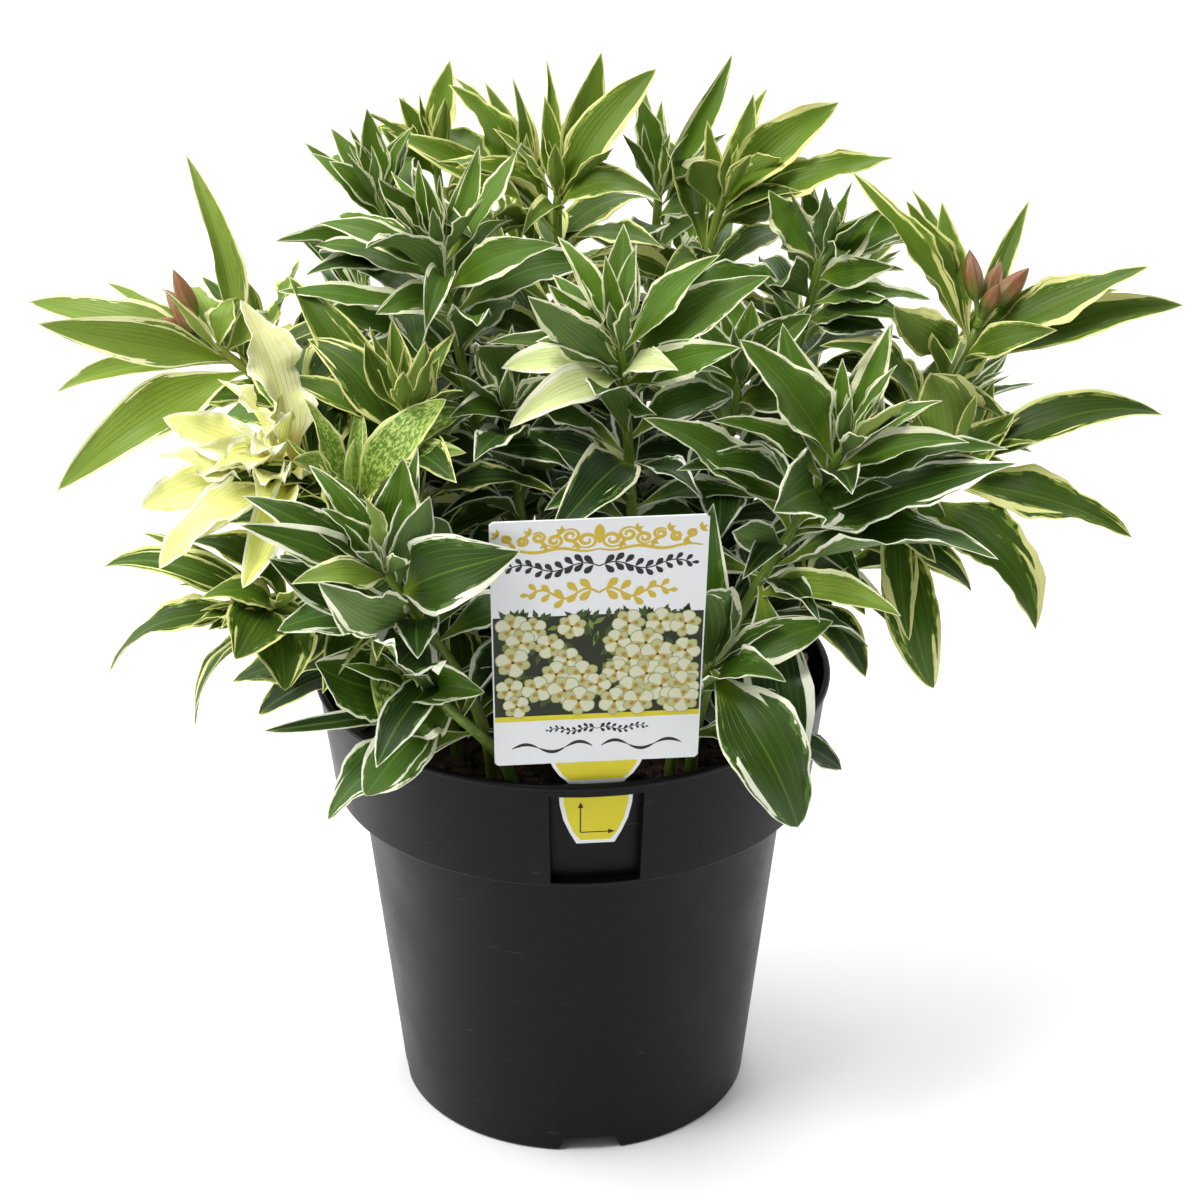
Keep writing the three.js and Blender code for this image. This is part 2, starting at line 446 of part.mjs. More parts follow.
function makePot() {
  const lipZ = POT_HEIGHT - LIP_HEIGHT;
  const innerFoot = BASE_RADIUS - WALL;
  const shell = latheSolid(
    [
      [0, 0], [MIDDLE_FOOT_RADIUS, 0], [MIDDLE_FOOT_RADIUS + 1, FLOOR_Z],
      [BASE_RADIUS - STANDING_RING - 1, FLOOR_Z], [BASE_RADIUS - STANDING_RING, 0],
      [BASE_RADIUS, 0], [BODY_TOP_RADIUS, COLLAR_FOOT_Z], [COLLAR_FOOT_RADIUS, COLLAR_FOOT_Z],
      [collarRadius(lipZ), lipZ], [RIM_RADIUS, lipZ + LIP_PROUD], [RIM_RADIUS, POT_HEIGHT],
      [collarRadius(POT_HEIGHT) - WALL, POT_HEIGHT], [COLLAR_FOOT_RADIUS - WALL, COLLAR_FOOT_Z + WALL],
      [BODY_TOP_RADIUS - WALL, COLLAR_FOOT_Z + WALL], [innerFoot, FLOOR_Z + FLOOR_THICKNESS],
      [0, FLOOR_Z + FLOOR_THICKNESS],
    ],
    POT_SIDES,
  );
  // The collar is set back behind the tag, between two cheeks, and the rim goes on across it as a bar.
  const depth = SLOT_DEPTH + WALL;
  const foot = collarRadius(COLLAR_FOOT_Z);
  const top = collarRadius(POT_HEIGHT);
  const niche = ringSector(foot - depth, foot - 0.6, top - depth, top - 0.6, COLLAR_FOOT_Z, POT_HEIGHT,
    SLOT_TURN, SLOT_FRONT_HALF_ANGLE + SLOT_CHEEK_ANGLE, 4);
  const barFoot = POT_HEIGHT - BAR_HEIGHT;
  const recess = ringSector(foot - SLOT_DEPTH, foot + 8, collarRadius(barFoot) - SLOT_DEPTH,
    collarRadius(barFoot) + 8, COLLAR_FOOT_Z + WALL, barFoot, SLOT_TURN, SLOT_FRONT_HALF_ANGLE, 4);
  const throat = ringSector(collarRadius(barFoot - 1) - SLOT_DEPTH, collarRadius(barFoot - 1) - BAR_THICKNESS,
    collarRadius(POT_HEIGHT + 1) - SLOT_DEPTH, collarRadius(POT_HEIGHT + 1) - BAR_THICKNESS, barFoot - 1,
    POT_HEIGHT + 1, SLOT_TURN, SLOT_FRONT_HALF_ANGLE, 4);
  let pot = shell.add(niche).subtract(recess).subtract(throat);
  for (let i = 0; i < DRAIN_COUNT; i++) {
    const turn = THREE.MathUtils.degToRad((360 * i) / DRAIN_COUNT + SLOT_TURN);
    const hole = new THREE.CylinderGeometry(DRAIN_HOLE_RADIUS, DRAIN_HOLE_RADIUS, 8, 10);
    hole.rotateX(Math.PI / 2);
    hole.translate(0, -DRAIN_RING_RADIUS, FLOOR_Z + FLOOR_THICKNESS / 2);
    hole.rotateZ(turn + Math.PI / DRAIN_COUNT);
    const outline = new THREE.Shape([
      new THREE.Vector2(-NOTCH_FOOT_WIDTH / 2, -1), new THREE.Vector2(NOTCH_FOOT_WIDTH / 2, -1),
      new THREE.Vector2(NOTCH_TOP_WIDTH / 2, NOTCH_HEIGHT),
      new THREE.Vector2(-NOTCH_TOP_WIDTH / 2, NOTCH_HEIGHT),
    ]);
    const notch = new THREE.ExtrudeGeometry(outline, { depth: 12, bevelEnabled: false });
    notch.rotateX(Math.PI / 2);
    notch.translate(0, 4 - BASE_RADIUS + STANDING_RING, 0);
    notch.rotateZ(turn);
    pot = pot.subtract(solidOf(hole)).subtract(solidOf(notch));
  }
  return pot;
}

// The height of the mix's surface
function mixHeight(x, y) {
  const r = Math.hypot(x, y) / RIM_RADIUS;
  return MIX_TOP_Z + MIX_DOME * (1 - r * r) + MIX_LUMP * Math.sin(x * 0.11 + 1) * Math.cos(y * 0.13);
}

function makeMix(holes) {
  const inner = (z) => collarRadius(z) - WALL - FACET_GAP;
  const ledge = COLLAR_FOOT_Z + WALL + GAP;
  const lathe = new THREE.LatheGeometry(
    [
      [0, FLOOR_Z + FLOOR_THICKNESS + GAP],
      [BASE_RADIUS - WALL - FACET_GAP, FLOOR_Z + FLOOR_THICKNESS + GAP],
      [BODY_TOP_RADIUS - WALL - FACET_GAP, ledge], [inner(ledge), ledge], [inner(MIX_TOP_Z), MIX_TOP_Z],
      [52, MIX_TOP_Z], [0, MIX_TOP_Z],
    ].map(([r, z]) => new THREE.Vector2(r, z)),
    MIX_SIDES,
  );
  lathe.rotateX(Math.PI / 2);
  const p = lathe.attributes.position;
  for (let i = 0; i < p.count; i++)
    if (p.getZ(i) > MIX_TOP_Z - 1) p.setZ(i, mixHeight(p.getX(i), p.getY(i)));
  const depth = SLOT_DEPTH + WALL + FACET_GAP;
  const foot = collarRadius(COLLAR_FOOT_Z);
  const top = collarRadius(POT_HEIGHT);
  let mix = solidOf(lathe).subtract(
    ringSector(foot - depth, foot + 8, top - depth, top + 8, COLLAR_FOOT_Z, POT_HEIGHT, SLOT_TURN,
      SLOT_FRONT_HALF_ANGLE + SLOT_CHEEK_ANGLE + 0.5, 4),
  );
  for (const [x, y, radius] of holes) {
    const hole = new THREE.CylinderGeometry(radius, radius, 40, STEM_HOLE_SIDES);
    hole.rotateX(Math.PI / 2);
    hole.translate(x, y, MIX_TOP_Z - STEM_HOLE_DEPTH + 20);
    mix = mix.subtract(solidOf(hole));
  }
  return mix;
}

function makeTag() {
  const shape = new THREE.Shape();
  const tongueTop = TAG_TONGUE_HEIGHT;
  const waistTop = tongueTop + TAG_WAIST_HEIGHT;
  const panelFoot = waistTop + TAG_NECK_HEIGHT;
  const panelTop = panelFoot + TAG_PANEL_HEIGHT;
  const side = (s) => [
    [(s * TAG_TONGUE_FOOT_WIDTH) / 2, 0],
    [s * TAG_TONGUE_WIDTH * 0.44, tongueTop * 0.5],
    [(s * TAG_TONGUE_WIDTH) / 2, tongueTop],
    [(s * TAG_WAIST_WIDTH) / 2, tongueTop + 1],
    [(s * TAG_WAIST_WIDTH) / 2, waistTop - 1],
    [s * (TAG_WAIST_WIDTH / 2 + 3.4), waistTop + TAG_NECK_HEIGHT * 0.32],
    [(s * TAG_NECK_TOP_WIDTH) / 2, panelFoot],
    [(s * TAG_PANEL_WIDTH_FOOT) / 2, panelFoot],
    [(s * TAG_PANEL_WIDTH_TOP) / 2, panelTop],
  ];
  const outline = [...side(1), ...side(-1).reverse()];
  outline.forEach(([x, y], i) => (i ? shape.lineTo(x, y) : shape.moveTo(x, y)));
  return solidOf(new THREE.ExtrudeGeometry(shape, { depth: TAG_THICKNESS, bevelEnabled: false }));
}

// Sets the tag in its slot: it leans with the collar and lies against the recess, its waist behind the bar.
function placeTag(mesh) {
  const lean = Math.atan2(RIM_RADIUS - LIP_PROUD - COLLAR_FOOT_RADIUS, POT_HEIGHT - COLLAR_FOOT_Z);
  const waistMiddle = TAG_TONGUE_HEIGHT + TAG_WAIST_HEIGHT / 2;
  const barMiddle = POT_HEIGHT - BAR_HEIGHT / 2;
  const footZ = barMiddle - waistMiddle * Math.cos(lean);
  const radius = collarRadius(footZ) - SLOT_DEPTH + GAP;
  const turn = THREE.MathUtils.degToRad(SLOT_TURN);
  mesh.rotation.order = "ZYX";
  mesh.rotation.set(Math.PI / 2 + lean, 0, turn);
  mesh.position.set(radius * Math.sin(turn), -radius * Math.cos(turn), footZ);
}

// A stem's centreline: straight up out of the mix, then over to its crown
function stemCurve(spec) {
  const crown = new THREE.Vector3(...spec.crown);
  const foot = new THREE.Vector3(spec.foot[0], spec.foot[1], MIX_TOP_Z - STEM_HOLE_DEPTH + GAP);
  const neck = foot.clone().setZ(MIX_TOP_Z + 4);
  const reach = crown.distanceTo(neck);
  const lean = new THREE.Vector3(...spec.lean).normalize();
  const rise = neck.clone().add(new THREE.Vector3(0, 0, reach * 0.35));
  const turn = crown.clone().addScaledVector(lean, -reach * 0.4);
  return { foot, bend: new THREE.CubicBezierCurve3(neck, rise, turn, crown), reach };
}

// The point at a distance down the stem from the crown
function stemAt(stem, down) {
  const steps = 60;
  let last = stem.bend.getPoint(1);
  let left = down;
  for (let i = steps - 1; i >= 0; i--) {
    const next = stem.bend.getPoint(i / steps);
    const step = last.distanceTo(next);
    if (step >= left) return last.clone().lerp(next, left / step);
    left -= step;
    last = next;
  }
  return last;
}

function stemSolid(stem) {
  const rings = [];
  const centres = [stem.foot];
  for (let i = 0; i <= STEM_STEPS; i++) centres.push(stem.bend.getPoint(i / STEM_STEPS));
  centres.forEach((c, i) => {
    const ahead = i === 0 ? new THREE.Vector3(0, 0, 1) : stem.bend.getTangent((i - 1) / STEM_STEPS);
    const side = new THREE.Vector3(1, 0, 0).addScaledVector(ahead, -ahead.x).normalize();
    const other = new THREE.Vector3().crossVectors(ahead, side);
    const radius = STEM_FOOT_RADIUS + ((STEM_TOP_RADIUS - STEM_FOOT_RADIUS) * i) / (centres.length - 1);
    const ring = [];
    for (let k = 0; k < STEM_SIDES; k++) {
      const a = (2 * Math.PI * k) / STEM_SIDES;
      ring.push(c.clone().addScaledVector(side, radius * Math.cos(a))
        .addScaledVector(other, radius * Math.sin(a)));
    }
    rings.push(ring);
  });
  return solidOfRings(rings);
}

// Every leaf that a shoot should have: root, tip, width, bow, roll, cup, twist and the way it faces out
function leafPlans(spec, index, stem) {
  const crown = new THREE.Vector3(...spec.crown);
  const plans = [];
  const rooted = (down, tip, width, bow, roll, n, facing) => {
    const root = stemAt(stem, down + ROOT_STAGGER * (n % 4));
    const out = tip.clone().sub(root).setZ(0);
    if (out.length() < 4) out.add(new THREE.Vector3(root.x * 0.02, -0.5, 0));
    out.normalize();
    root.addScaledVector(out, ROOT_OFFSET);
    plans.push({
      root, tip, width, bow, facing,
      roll: roll + (draw(index, n, 1) - 0.5) * ROLL_SPREAD,
      cup: LEAST_CUP + draw(index, n, 2) * CUP_SPREAD,
      twist: (draw(index, n, 3) - 0.5) * TWIST_SPREAD,
      sway: (draw(index, n, 4) - 0.5) * SWAY_SPREAD,
      out,
    });
  };
  spec.leaves.forEach(([down, right, up, near, width, bow, roll], n) => {
    const tip = crown.clone().addScaledVector(VIEW_RIGHT, right).addScaledVector(VIEW_UP, up)
      .addScaledVector(VIEW_NEAR, near);
    rooted(down, tip, width * FEATURE_BREADTH, bow, roll, n, FACING);
  });
  const [count, first, last, middle, spread] = spec.fill;
  const steep = spec.leaves.length === 0;
  const rule = steep ? STEEP_RULE_LEAVES : RULE_LEAVES;
  for (let i = 0; i < count; i++) {
    const n = spec.leaves.length + i;
    const share = count > 1 ? i / (count - 1) : 0;
    const down = first + (last - first) * share ** 1.4;
    const around = ((i * GOLDEN_TURN) / 360 + 0.13 * index) % 1;
    const azimuth = THREE.MathUtils.degToRad(middle + (2 * around - 1) * spread);
    const fall = rule.fall * share ** rule.power;
    const pitch = THREE.MathUtils.degToRad(rule.pitch - fall + (draw(index, n, 5) - 0.5) * 20);
    const length = (rule.length + rule.gain * share) * (0.85 + 0.3 * draw(index, n, 6));
    const root = stemAt(stem, down);
    const tip = root.clone().add(new THREE.Vector3(
      length * Math.cos(pitch) * Math.cos(azimuth),
      length * Math.cos(pitch) * Math.sin(azimuth),
      length * Math.sin(pitch),
    ));
    const width = length * (0.3 + 0.1 * draw(index, n, 7));
    rooted(down, tip, width, length * (steep && share < 0.3 ? -0.03 : 0.11), 0, n, steep ? 0 : FACING / 2);
  }
  return plans;
}

// A plan changed by one of the dodges
function dodged(plan, [swing, lift, keep]) {
  const chord = plan.tip.clone().sub(plan.root);
  const up = new THREE.Vector3(0, 0, 1);
  chord.applyAxisAngle(up, THREE.MathUtils.degToRad(swing));
  const out = plan.out.clone().applyAxisAngle(up, THREE.MathUtils.degToRad(swing));
  const side = up.clone().cross(out);
  chord.applyAxisAngle(side, THREE.MathUtils.degToRad(-lift)).multiplyScalar(keep);
  return { ...plan, tip: plan.root.clone().add(chord), out, width: plan.width * keep, bow: plan.bow * keep };
}

// How wide a blade is along its length, as a share of its width: a narrow root, then a long pointed oval
function outline(t) {
  const petiole = Math.min(t / 0.42, 1);
  const open = 0.3 + 0.7 * petiole * petiole * (3 - 2 * petiole);
  return open * Math.sin(Math.PI * t ** 0.8) ** 0.85;
}

// The blade of a leaf: a thin folded solid along a bowed midrib, four points a ring, or three where it is
// narrow
function bladeSolid(plan, grow, thickness, from) {
  const chord = plan.tip.clone().sub(plan.root);
  const length = chord.length();
  const along = chord.clone().normalize();
  const up = new THREE.Vector3(0, 0, 1);
  const level = up.clone().cross(plan.out);
  const seen = VIEW_NEAR.clone().cross(along).normalize();
  if (seen.dot(level) < 0) seen.negate();
  const flat = level.addScaledVector(along, -level.dot(along)).normalize()
    .multiplyScalar(1 - plan.facing).addScaledVector(seen, plan.facing).normalize();
  const face = along.clone().cross(flat);
  const roll = THREE.MathUtils.degToRad(plan.roll);
  const side = flat.clone().multiplyScalar(Math.cos(roll)).addScaledVector(face, Math.sin(roll));
  const lift = (share, by) => plan.root.clone().addScaledVector(chord, share)
    .addScaledVector(face, (4 / 3) * by).addScaledVector(flat, plan.sway * length * share);
  const midrib = new THREE.CubicBezierCurve3(plan.root, lift(1 / 3, plan.bow), lift(2 / 3, plan.bow), plan.tip);
  const narrow = plan.width < NARROW_WIDTH || plan.facing === 0;
  const stations = narrow ? NARROW_STATIONS : BLADE_STATIONS;
  const rings = [from, ...stations.filter((t) => t > from + 0.05)].map((t) => {
    const p = midrib.getPoint(t);
    const ahead = midrib.getTangent(t);
    const turn = THREE.MathUtils.degToRad(plan.twist * t);
    const across = side.clone().addScaledVector(ahead, -side.dot(ahead)).normalize();
    const normal = ahead.clone().cross(across);
    const s = across.clone().multiplyScalar(Math.cos(turn)).addScaledVector(normal, Math.sin(turn));
    const n = ahead.clone().cross(s);
    const half = (t === 0 ? BLADE_ROOT_HALF_WIDTH : (plan.width / 2) * outline(t)) + grow;
    const cup = THREE.MathUtils.degToRad(t === 0 ? 0 : plan.cup);
    const thick = thickness * (t === 0 ? 1 : 1 - 0.3 * t);
    const edge = (w) => p.clone().addScaledVector(s, w * Math.cos(cup)).addScaledVector(n, half * Math.sin(cup));
    const under = p.clone().addScaledVector(n, -thick / 2);
    return narrow ? [edge(half), edge(-half), under] : [
      edge(half), p.clone().addScaledVector(n, thick / 2), edge(-half), under,
    ];
  });
  const tip = plan.tip.clone().addScaledVector(along, grow);
  return solidOfRings([...rings, [tip]]);
}

const meets = (a, b) => {
  const [p, q] = [a.boundingBox(), b.boundingBox()];
  for (let i = 0; i < 3; i++) if (p.min[i] > q.max[i] || q.min[i] > p.max[i]) return false;
  return a.intersect(b).volume() > 0.001;
};

// A solid whose surface is one shell with no edge too short to keep
function isSound(solid) {
  const mesh = solid.getMesh();
  const home = Array.from({ length: mesh.numVert }, (_, i) => i);
  const find = (i) => {
    while (home[i] !== i) i = home[i] = home[home[i]];
    return i;
  };
  const gap = (a, b) => {
    const [i, j] = [a * mesh.numProp, b * mesh.numProp];
    const v = mesh.vertProperties;
    return Math.hypot(v[i] - v[j], v[i + 1] - v[j + 1], v[i + 2] - v[j + 2]);
  };
  for (let t = 0; t < mesh.triVerts.length; t += 3) {
    const [a, b, c] = mesh.triVerts.subarray(t, t + 3);
    if (Math.min(gap(a, b), gap(b, c), gap(c, a)) < SHORTEST_EDGE) return false;
    home[find(a)] = find(b);
    home[find(b)] = find(c);
  }
  return home.filter((h, i) => h === i).length === 1;
}

// A bud: a stalk that swells into a pointed oval
function budSolid(root, tip, width) {
  const chord = tip.clone().sub(root);
  const ahead = chord.clone().normalize();
  const side = new THREE.Vector3(0.3, 1, 0.1).cross(ahead).normalize();
  const other = ahead.clone().cross(side);
  const profile = [
    [0, BUD_STALK_RADIUS], [0.3, BUD_STALK_RADIUS], [0.45, width * 0.36], [0.66, width * 0.5], [0.87, width * 0.34],
  ];
  const rings = profile.map(([t, r]) => {
    const ring = [];
    for (let k = 0; k < BUD_SIDES; k++) {
      const a = (2 * Math.PI * k) / BUD_SIDES;
      ring.push(root.clone().addScaledVector(chord, t)
        .addScaledVector(side, r * Math.cos(a)).addScaledVector(other, r * Math.sin(a)));
    }
    return ring;
  });
  return solidOfRings([...rings, [tip]]);
}

function budCluster(cluster, spec) {
  const crown = new THREE.Vector3(...spec.crown);
  const lean = new THREE.Vector3(...spec.lean).normalize();
  const seat = crown.clone().addScaledVector(lean, GAP);
  const top = seat.clone().addScaledVector(lean, BUD_START);
  const side = new THREE.Vector3(0, 1, 0).cross(lean).normalize();
  const other = lean.clone().cross(side);
  const rings = [seat, top].map((c) => {
    const ring = [];
    for (let k = 0; k < BUD_SIDES; k++) {
      const a = (2 * Math.PI * k) / BUD_SIDES;
      ring.push(c.clone().addScaledVector(side, STEM_TOP_RADIUS * Math.cos(a))
        .addScaledVector(other, STEM_TOP_RADIUS * Math.sin(a)));
    }
    return ring;
  });
  let solid = solidOfRings(rings);
  const root = seat.clone().addScaledVector(lean, BUD_START * 0.6);
  for (const [right, up, near, width] of cluster.buds) {
    const tip = crown.clone().addScaledVector(VIEW_RIGHT, right).addScaledVector(VIEW_UP, up)
      .addScaledVector(VIEW_NEAR, near);
    solid = solid.add(budSolid(root, tip, width));
  }
  return solid;
}

function stumpSolid() {
  const rings = [STUMP_FOOT, STUMP_FOOT.clone().setZ(MIX_TOP_Z + 3), STUMP_TOP].map((c, i) => {
    const ring = [];
    for (let k = 0; k < STEM_SIDES; k++) {
      const a = (2 * Math.PI * k) / STEM_SIDES;
      const r = i === 2 ? STUMP_RADIUS * 0.8 : STUMP_RADIUS;
      ring.push(new THREE.Vector3(c.x + r * Math.cos(a), c.y + r * Math.sin(a), c.z + (i === 2 ? 2 * Math.sin(a) : 0)));
    }
    return ring;
  });
  return solidOfRings(rings);
}

// Grows the leaves of every shoot in turn, first those with a place of their own and then those by rule,
// each in the first dodge that keeps it clear
function growShoots(stems, fixed) {
  const grown = stems.map((s) => s.solid);
  const blades = stems.map(() => []);
  const plans = stems.flatMap((stem, index) =>
    leafPlans(stem.spec, index, stem.curve).map((plan, n) => ({ index, plan, byRule: n >= stem.spec.leaves.length })),
  );
  for (const byRule of [false, true]) {
    for (const { index, plan } of plans.filter((entry) => entry.byRule === byRule)) {
      let second = null;
      let chosen = null;
      for (const dodge of DODGES) {
        const tried = dodged(plan, dodge);
        const wide = bladeSolid(tried, CLEAR_WIDTH, BLADE_THICKNESS + CLEAR_THICKNESS, 0);
        const others = [...fixed, ...grown.filter((_, i) => i !== index)];
        if (others.some((solid) => meets(wide, solid))) continue;
        if (!isSound(grown[index].add(bladeSolid(tried, 0, BLADE_THICKNESS, 0)))) continue;
        second = second || tried;
        const outer = bladeSolid(tried, 0, BLADE_THICKNESS, FREE_FROM);
        if (blades[index].some((blade) => meets(outer, blade))) continue;
        chosen = tried;
        break;
      }
      chosen = chosen || second;
      if (!chosen) continue;
      grown[index] = grown[index].add(bladeSolid(chosen, 0, BLADE_THICKNESS, 0));
      blades[index].push(bladeSolid(chosen, 0, BLADE_THICKNESS, FREE_FROM));
    }
  }
  return grown;
}

const finish = (color, roughness) => new THREE.MeshStandardMaterial({ color, roughness, metalness: 0 });
const MATERIALS = {
  pot: finish(0x2a2a2c, 0.45),
  mix: finish(0x2b1f17, 0.95),
  tag: finish(0xf2f2ee, 0.4),
  white: finish(0x4f7d3c, 0.5),
  gold: finish(0x6d963c, 0.5),
  cream: finish(0xf0ecb4, 0.55),
  mottled: finish(0xa9c46a, 0.55),
  bud: finish(0x9c6a4e, 0.5),
  stump: finish(0x7a5a41, 0.9),
};

const plant = new THREE.Group();
function show(name, solid, material) {
  const mesh = new THREE.Mesh(geometryOf(solid), MATERIALS[material]);
  mesh.name = name;
  plant.add(mesh);
  return mesh;
}

const pot = makePot();
const stems = SHOOTS.map((spec) => {
  const curve = stemCurve(spec);
  return { spec, curve, solid: stemSolid(curve) };
});
const mix = makeMix([
  ...SHOOTS.map((spec) => [...spec.foot, STEM_HOLE_RADIUS]),
  [STUMP_FOOT.x, STUMP_FOOT.y, STUMP_HOLE_RADIUS],
]);
const stump = stumpSolid();
const buds = BUD_CLUSTERS.map((c) => budCluster(c, SHOOTS.find((s) => s.name === c.shoot)));

show("pot", pot, "pot");
show("potting_mix", mix, "mix");
const tag = show("plant_tag", makeTag(), "tag");
placeTag(tag);
tag.updateMatrixWorld(true);
const tagSolid = solidOf(tag.geometry.clone().applyMatrix4(tag.matrixWorld));
show("dry_stump", stump, "stump");
BUD_CLUSTERS.forEach((c, i) => show(c.name, buds[i], "bud"));
const grown = growShoots(stems, [pot, mix, tagSolid, stump, ...buds]);
grown.forEach((solid, i) => show(SHOOTS[i].name, solid, SHOOTS[i].kind));

export default plant;
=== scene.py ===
"""A potted Peruvian lily dressed for rendering: fine leaves, stems, buds, pot, potting mix and tag."""
import math
import random

import bpy
import numpy as np
from mathutils import Matrix, Vector
from mathutils.kdtree import KDTree


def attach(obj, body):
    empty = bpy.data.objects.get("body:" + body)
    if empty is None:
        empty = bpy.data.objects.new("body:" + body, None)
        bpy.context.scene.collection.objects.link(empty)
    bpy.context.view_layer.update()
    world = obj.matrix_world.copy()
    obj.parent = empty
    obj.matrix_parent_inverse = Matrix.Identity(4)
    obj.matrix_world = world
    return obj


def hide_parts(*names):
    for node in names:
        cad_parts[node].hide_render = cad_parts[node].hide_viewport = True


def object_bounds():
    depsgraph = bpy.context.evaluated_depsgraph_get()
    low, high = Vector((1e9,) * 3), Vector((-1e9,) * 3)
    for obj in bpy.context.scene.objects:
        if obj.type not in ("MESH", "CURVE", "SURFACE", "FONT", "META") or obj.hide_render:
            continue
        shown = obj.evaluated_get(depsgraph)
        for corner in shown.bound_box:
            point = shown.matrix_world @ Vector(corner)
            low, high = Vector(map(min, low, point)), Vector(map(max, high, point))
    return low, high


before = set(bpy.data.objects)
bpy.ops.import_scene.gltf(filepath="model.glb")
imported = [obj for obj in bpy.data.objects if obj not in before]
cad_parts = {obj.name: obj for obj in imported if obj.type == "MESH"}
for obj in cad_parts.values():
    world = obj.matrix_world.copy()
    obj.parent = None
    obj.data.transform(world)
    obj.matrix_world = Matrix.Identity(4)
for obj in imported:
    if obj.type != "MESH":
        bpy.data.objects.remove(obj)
CAD_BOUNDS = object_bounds()

# Sizes are in millimetres, as in the part's source, and become metres when a mesh is made.
MM = 0.001

# Pot
RIM_RADIUS = 100
POT_HEIGHT = 180
COLLAR_FOOT_Z = 134
COLLAR_FOOT_RADIUS = 93.5
BODY_TOP_RADIUS = 83.5
BASE_RADIUS = 69
WALL = 1.8
LIP_HEIGHT = 2.6
LIP_PROUD = 0.8
FLOOR_Z = 5
FLOOR_THICKNESS = 2
STANDING_RING = 5
MIDDLE_FOOT_RADIUS = 24
DRAIN_COUNT = 4
DRAIN_HOLE_RADIUS = 5
DRAIN_RING_RADIUS = 44
NOTCH_HEIGHT = 6.5
NOTCH_TOP_WIDTH = 19
NOTCH_FOOT_WIDTH = 26
SLOT_TURN = math.radians(5)
SLOT_FRONT_HALF_ANGLE = 10.2
SLOT_CHEEK_ANGLE = 1.3
SLOT_DEPTH = 4.3
BAR_HEIGHT = 5.2
BAR_THICKNESS = 1.8
POT_SIDES = 160

# Tag
TAG_THICKNESS = 0.8
TAG_PANEL_WIDTH_TOP = 76.5
TAG_PANEL_WIDTH_FOOT = 73.5
TAG_PANEL_HEIGHT = 102
TAG_NECK_HEIGHT = 8.5
TAG_NECK_TOP_WIDTH = 33
TAG_WAIST_WIDTH = 20
TAG_WAIST_HEIGHT = 6
TAG_TONGUE_WIDTH = 27
TAG_TONGUE_FOOT_WIDTH = 14
TAG_TONGUE_HEIGHT = 22
INK_STEP = 0.008
INK_BORDER = 1.5
PICTURE_FOOT = 21
PICTURE_TOP = 63

# Potting mix and stems
MIX_TOP_Z = 158
MIX_DOME = 5
MIX_LUMP = 1.6
CHIP_COUNT = 1500
CHIP_REACH = 91
GAP = 0.32
STEM_FOOT_RADIUS = 2.7
STEM_TOP_RADIUS = 1.9
STEM_HOLE_DEPTH = 14
STUMP_FOOT = Vector((82, -20, MIX_TOP_Z - STEM_HOLE_DEPTH + GAP))
STUMP_TOP = Vector((87, -26, 196))
STUMP_RADIUS = 3.1

# Leaf blades, as in the part's source
BLADE_ROOT_HALF_WIDTH = 1.1
ROOT_OFFSET = 0.9
GOLDEN_TURN = 137.5
ROOT_STAGGER = 1.2
FACING = 0.6
FEATURE_BREADTH = 1.12
VIEW_TILT = math.radians(22)
VIEW_RIGHT = Vector((1, 0, 0))
VIEW_UP = Vector((0, math.sin(VIEW_TILT), math.cos(VIEW_TILT)))
VIEW_NEAR = Vector((0, -math.cos(VIEW_TILT), math.sin(VIEW_TILT)))
UP = Vector((0, 0, 1))
ROLL_SPREAD = 24
TWIST_SPREAD = 50
LEAST_CUP = 10
CUP_SPREAD = 22
SWAY_SPREAD = 0.14
RULE_LEAVES = dict(pitch=34, fall=50, power=1, length=46, gain=12)
STEEP_RULE_LEAVES = dict(pitch=74, fall=92, power=0.7, length=34, gain=30)

# Fine blades: their mesh, their thickness, how far their edges wave as a share of the half width, and how
# far their tips curl down as a share of the length
STEPS_ALONG = 24
STEPS_ACROSS = 8
BLADE_MIDDLE_THICKNESS = 0.9
BLADE_EDGE_THICKNESS = 0.3
LEAST_WAVE = 0.1
WAVE_SPREAD = 0.24
RUFFLED_WAVE = 0.5
LEAST_CURL = 0.02
CURL_SPREAD = 0.14
CURLED_SHOOT = "shoot_low_left"
CURLED_SHOOT_CURL = 0.3

# Where the source's last ring of a narrow and of a wide blade is along it, and how near, in metres, a point
# of the node's mesh must be to a planned one to count as that one
NARROW_WIDTH = 18
NARROW_LAST = 0.74
WIDE_LAST = 0.8
FOUND_WITHIN = 0.00006

# The young end of a leaf's colour: how much it owes to its age, its height and chance
FRESH_BY_AGE = 0.28
FRESH_BY_HEIGHT = 0.6
FRESH_BY_CHANCE = 0.24

# What a leaf may do to keep clear of its neighbours: swing sideways and lift, in degrees, and the share of
# its length that it keeps
DODGES = [
  [0, 0, 1], [7, 0, 1], [-7, 0, 1], [0, 7, 1], [0, -7, 1], [9, 8, 1], [-9, 8, 1], [9, -8, 1], [-9, -8, 1],
  [15, 0, 0.95], [-15, 0, 0.95], [0, 15, 0.95], [0, -15, 0.95], [18, 12, 0.9], [-18, 12, 0.9],
  [24, 0, 0.9], [-24, 0, 0.9], [0, 24, 0.85], [30, 14, 0.85], [-30, 14, 0.85], [0, 0, 0.75],
  [12, 6, 0.75], [-12, 6, 0.75], [0, -24, 0.75], [38, 6, 0.75], [-38, 6, 0.75], [0, 36, 0.75],
]

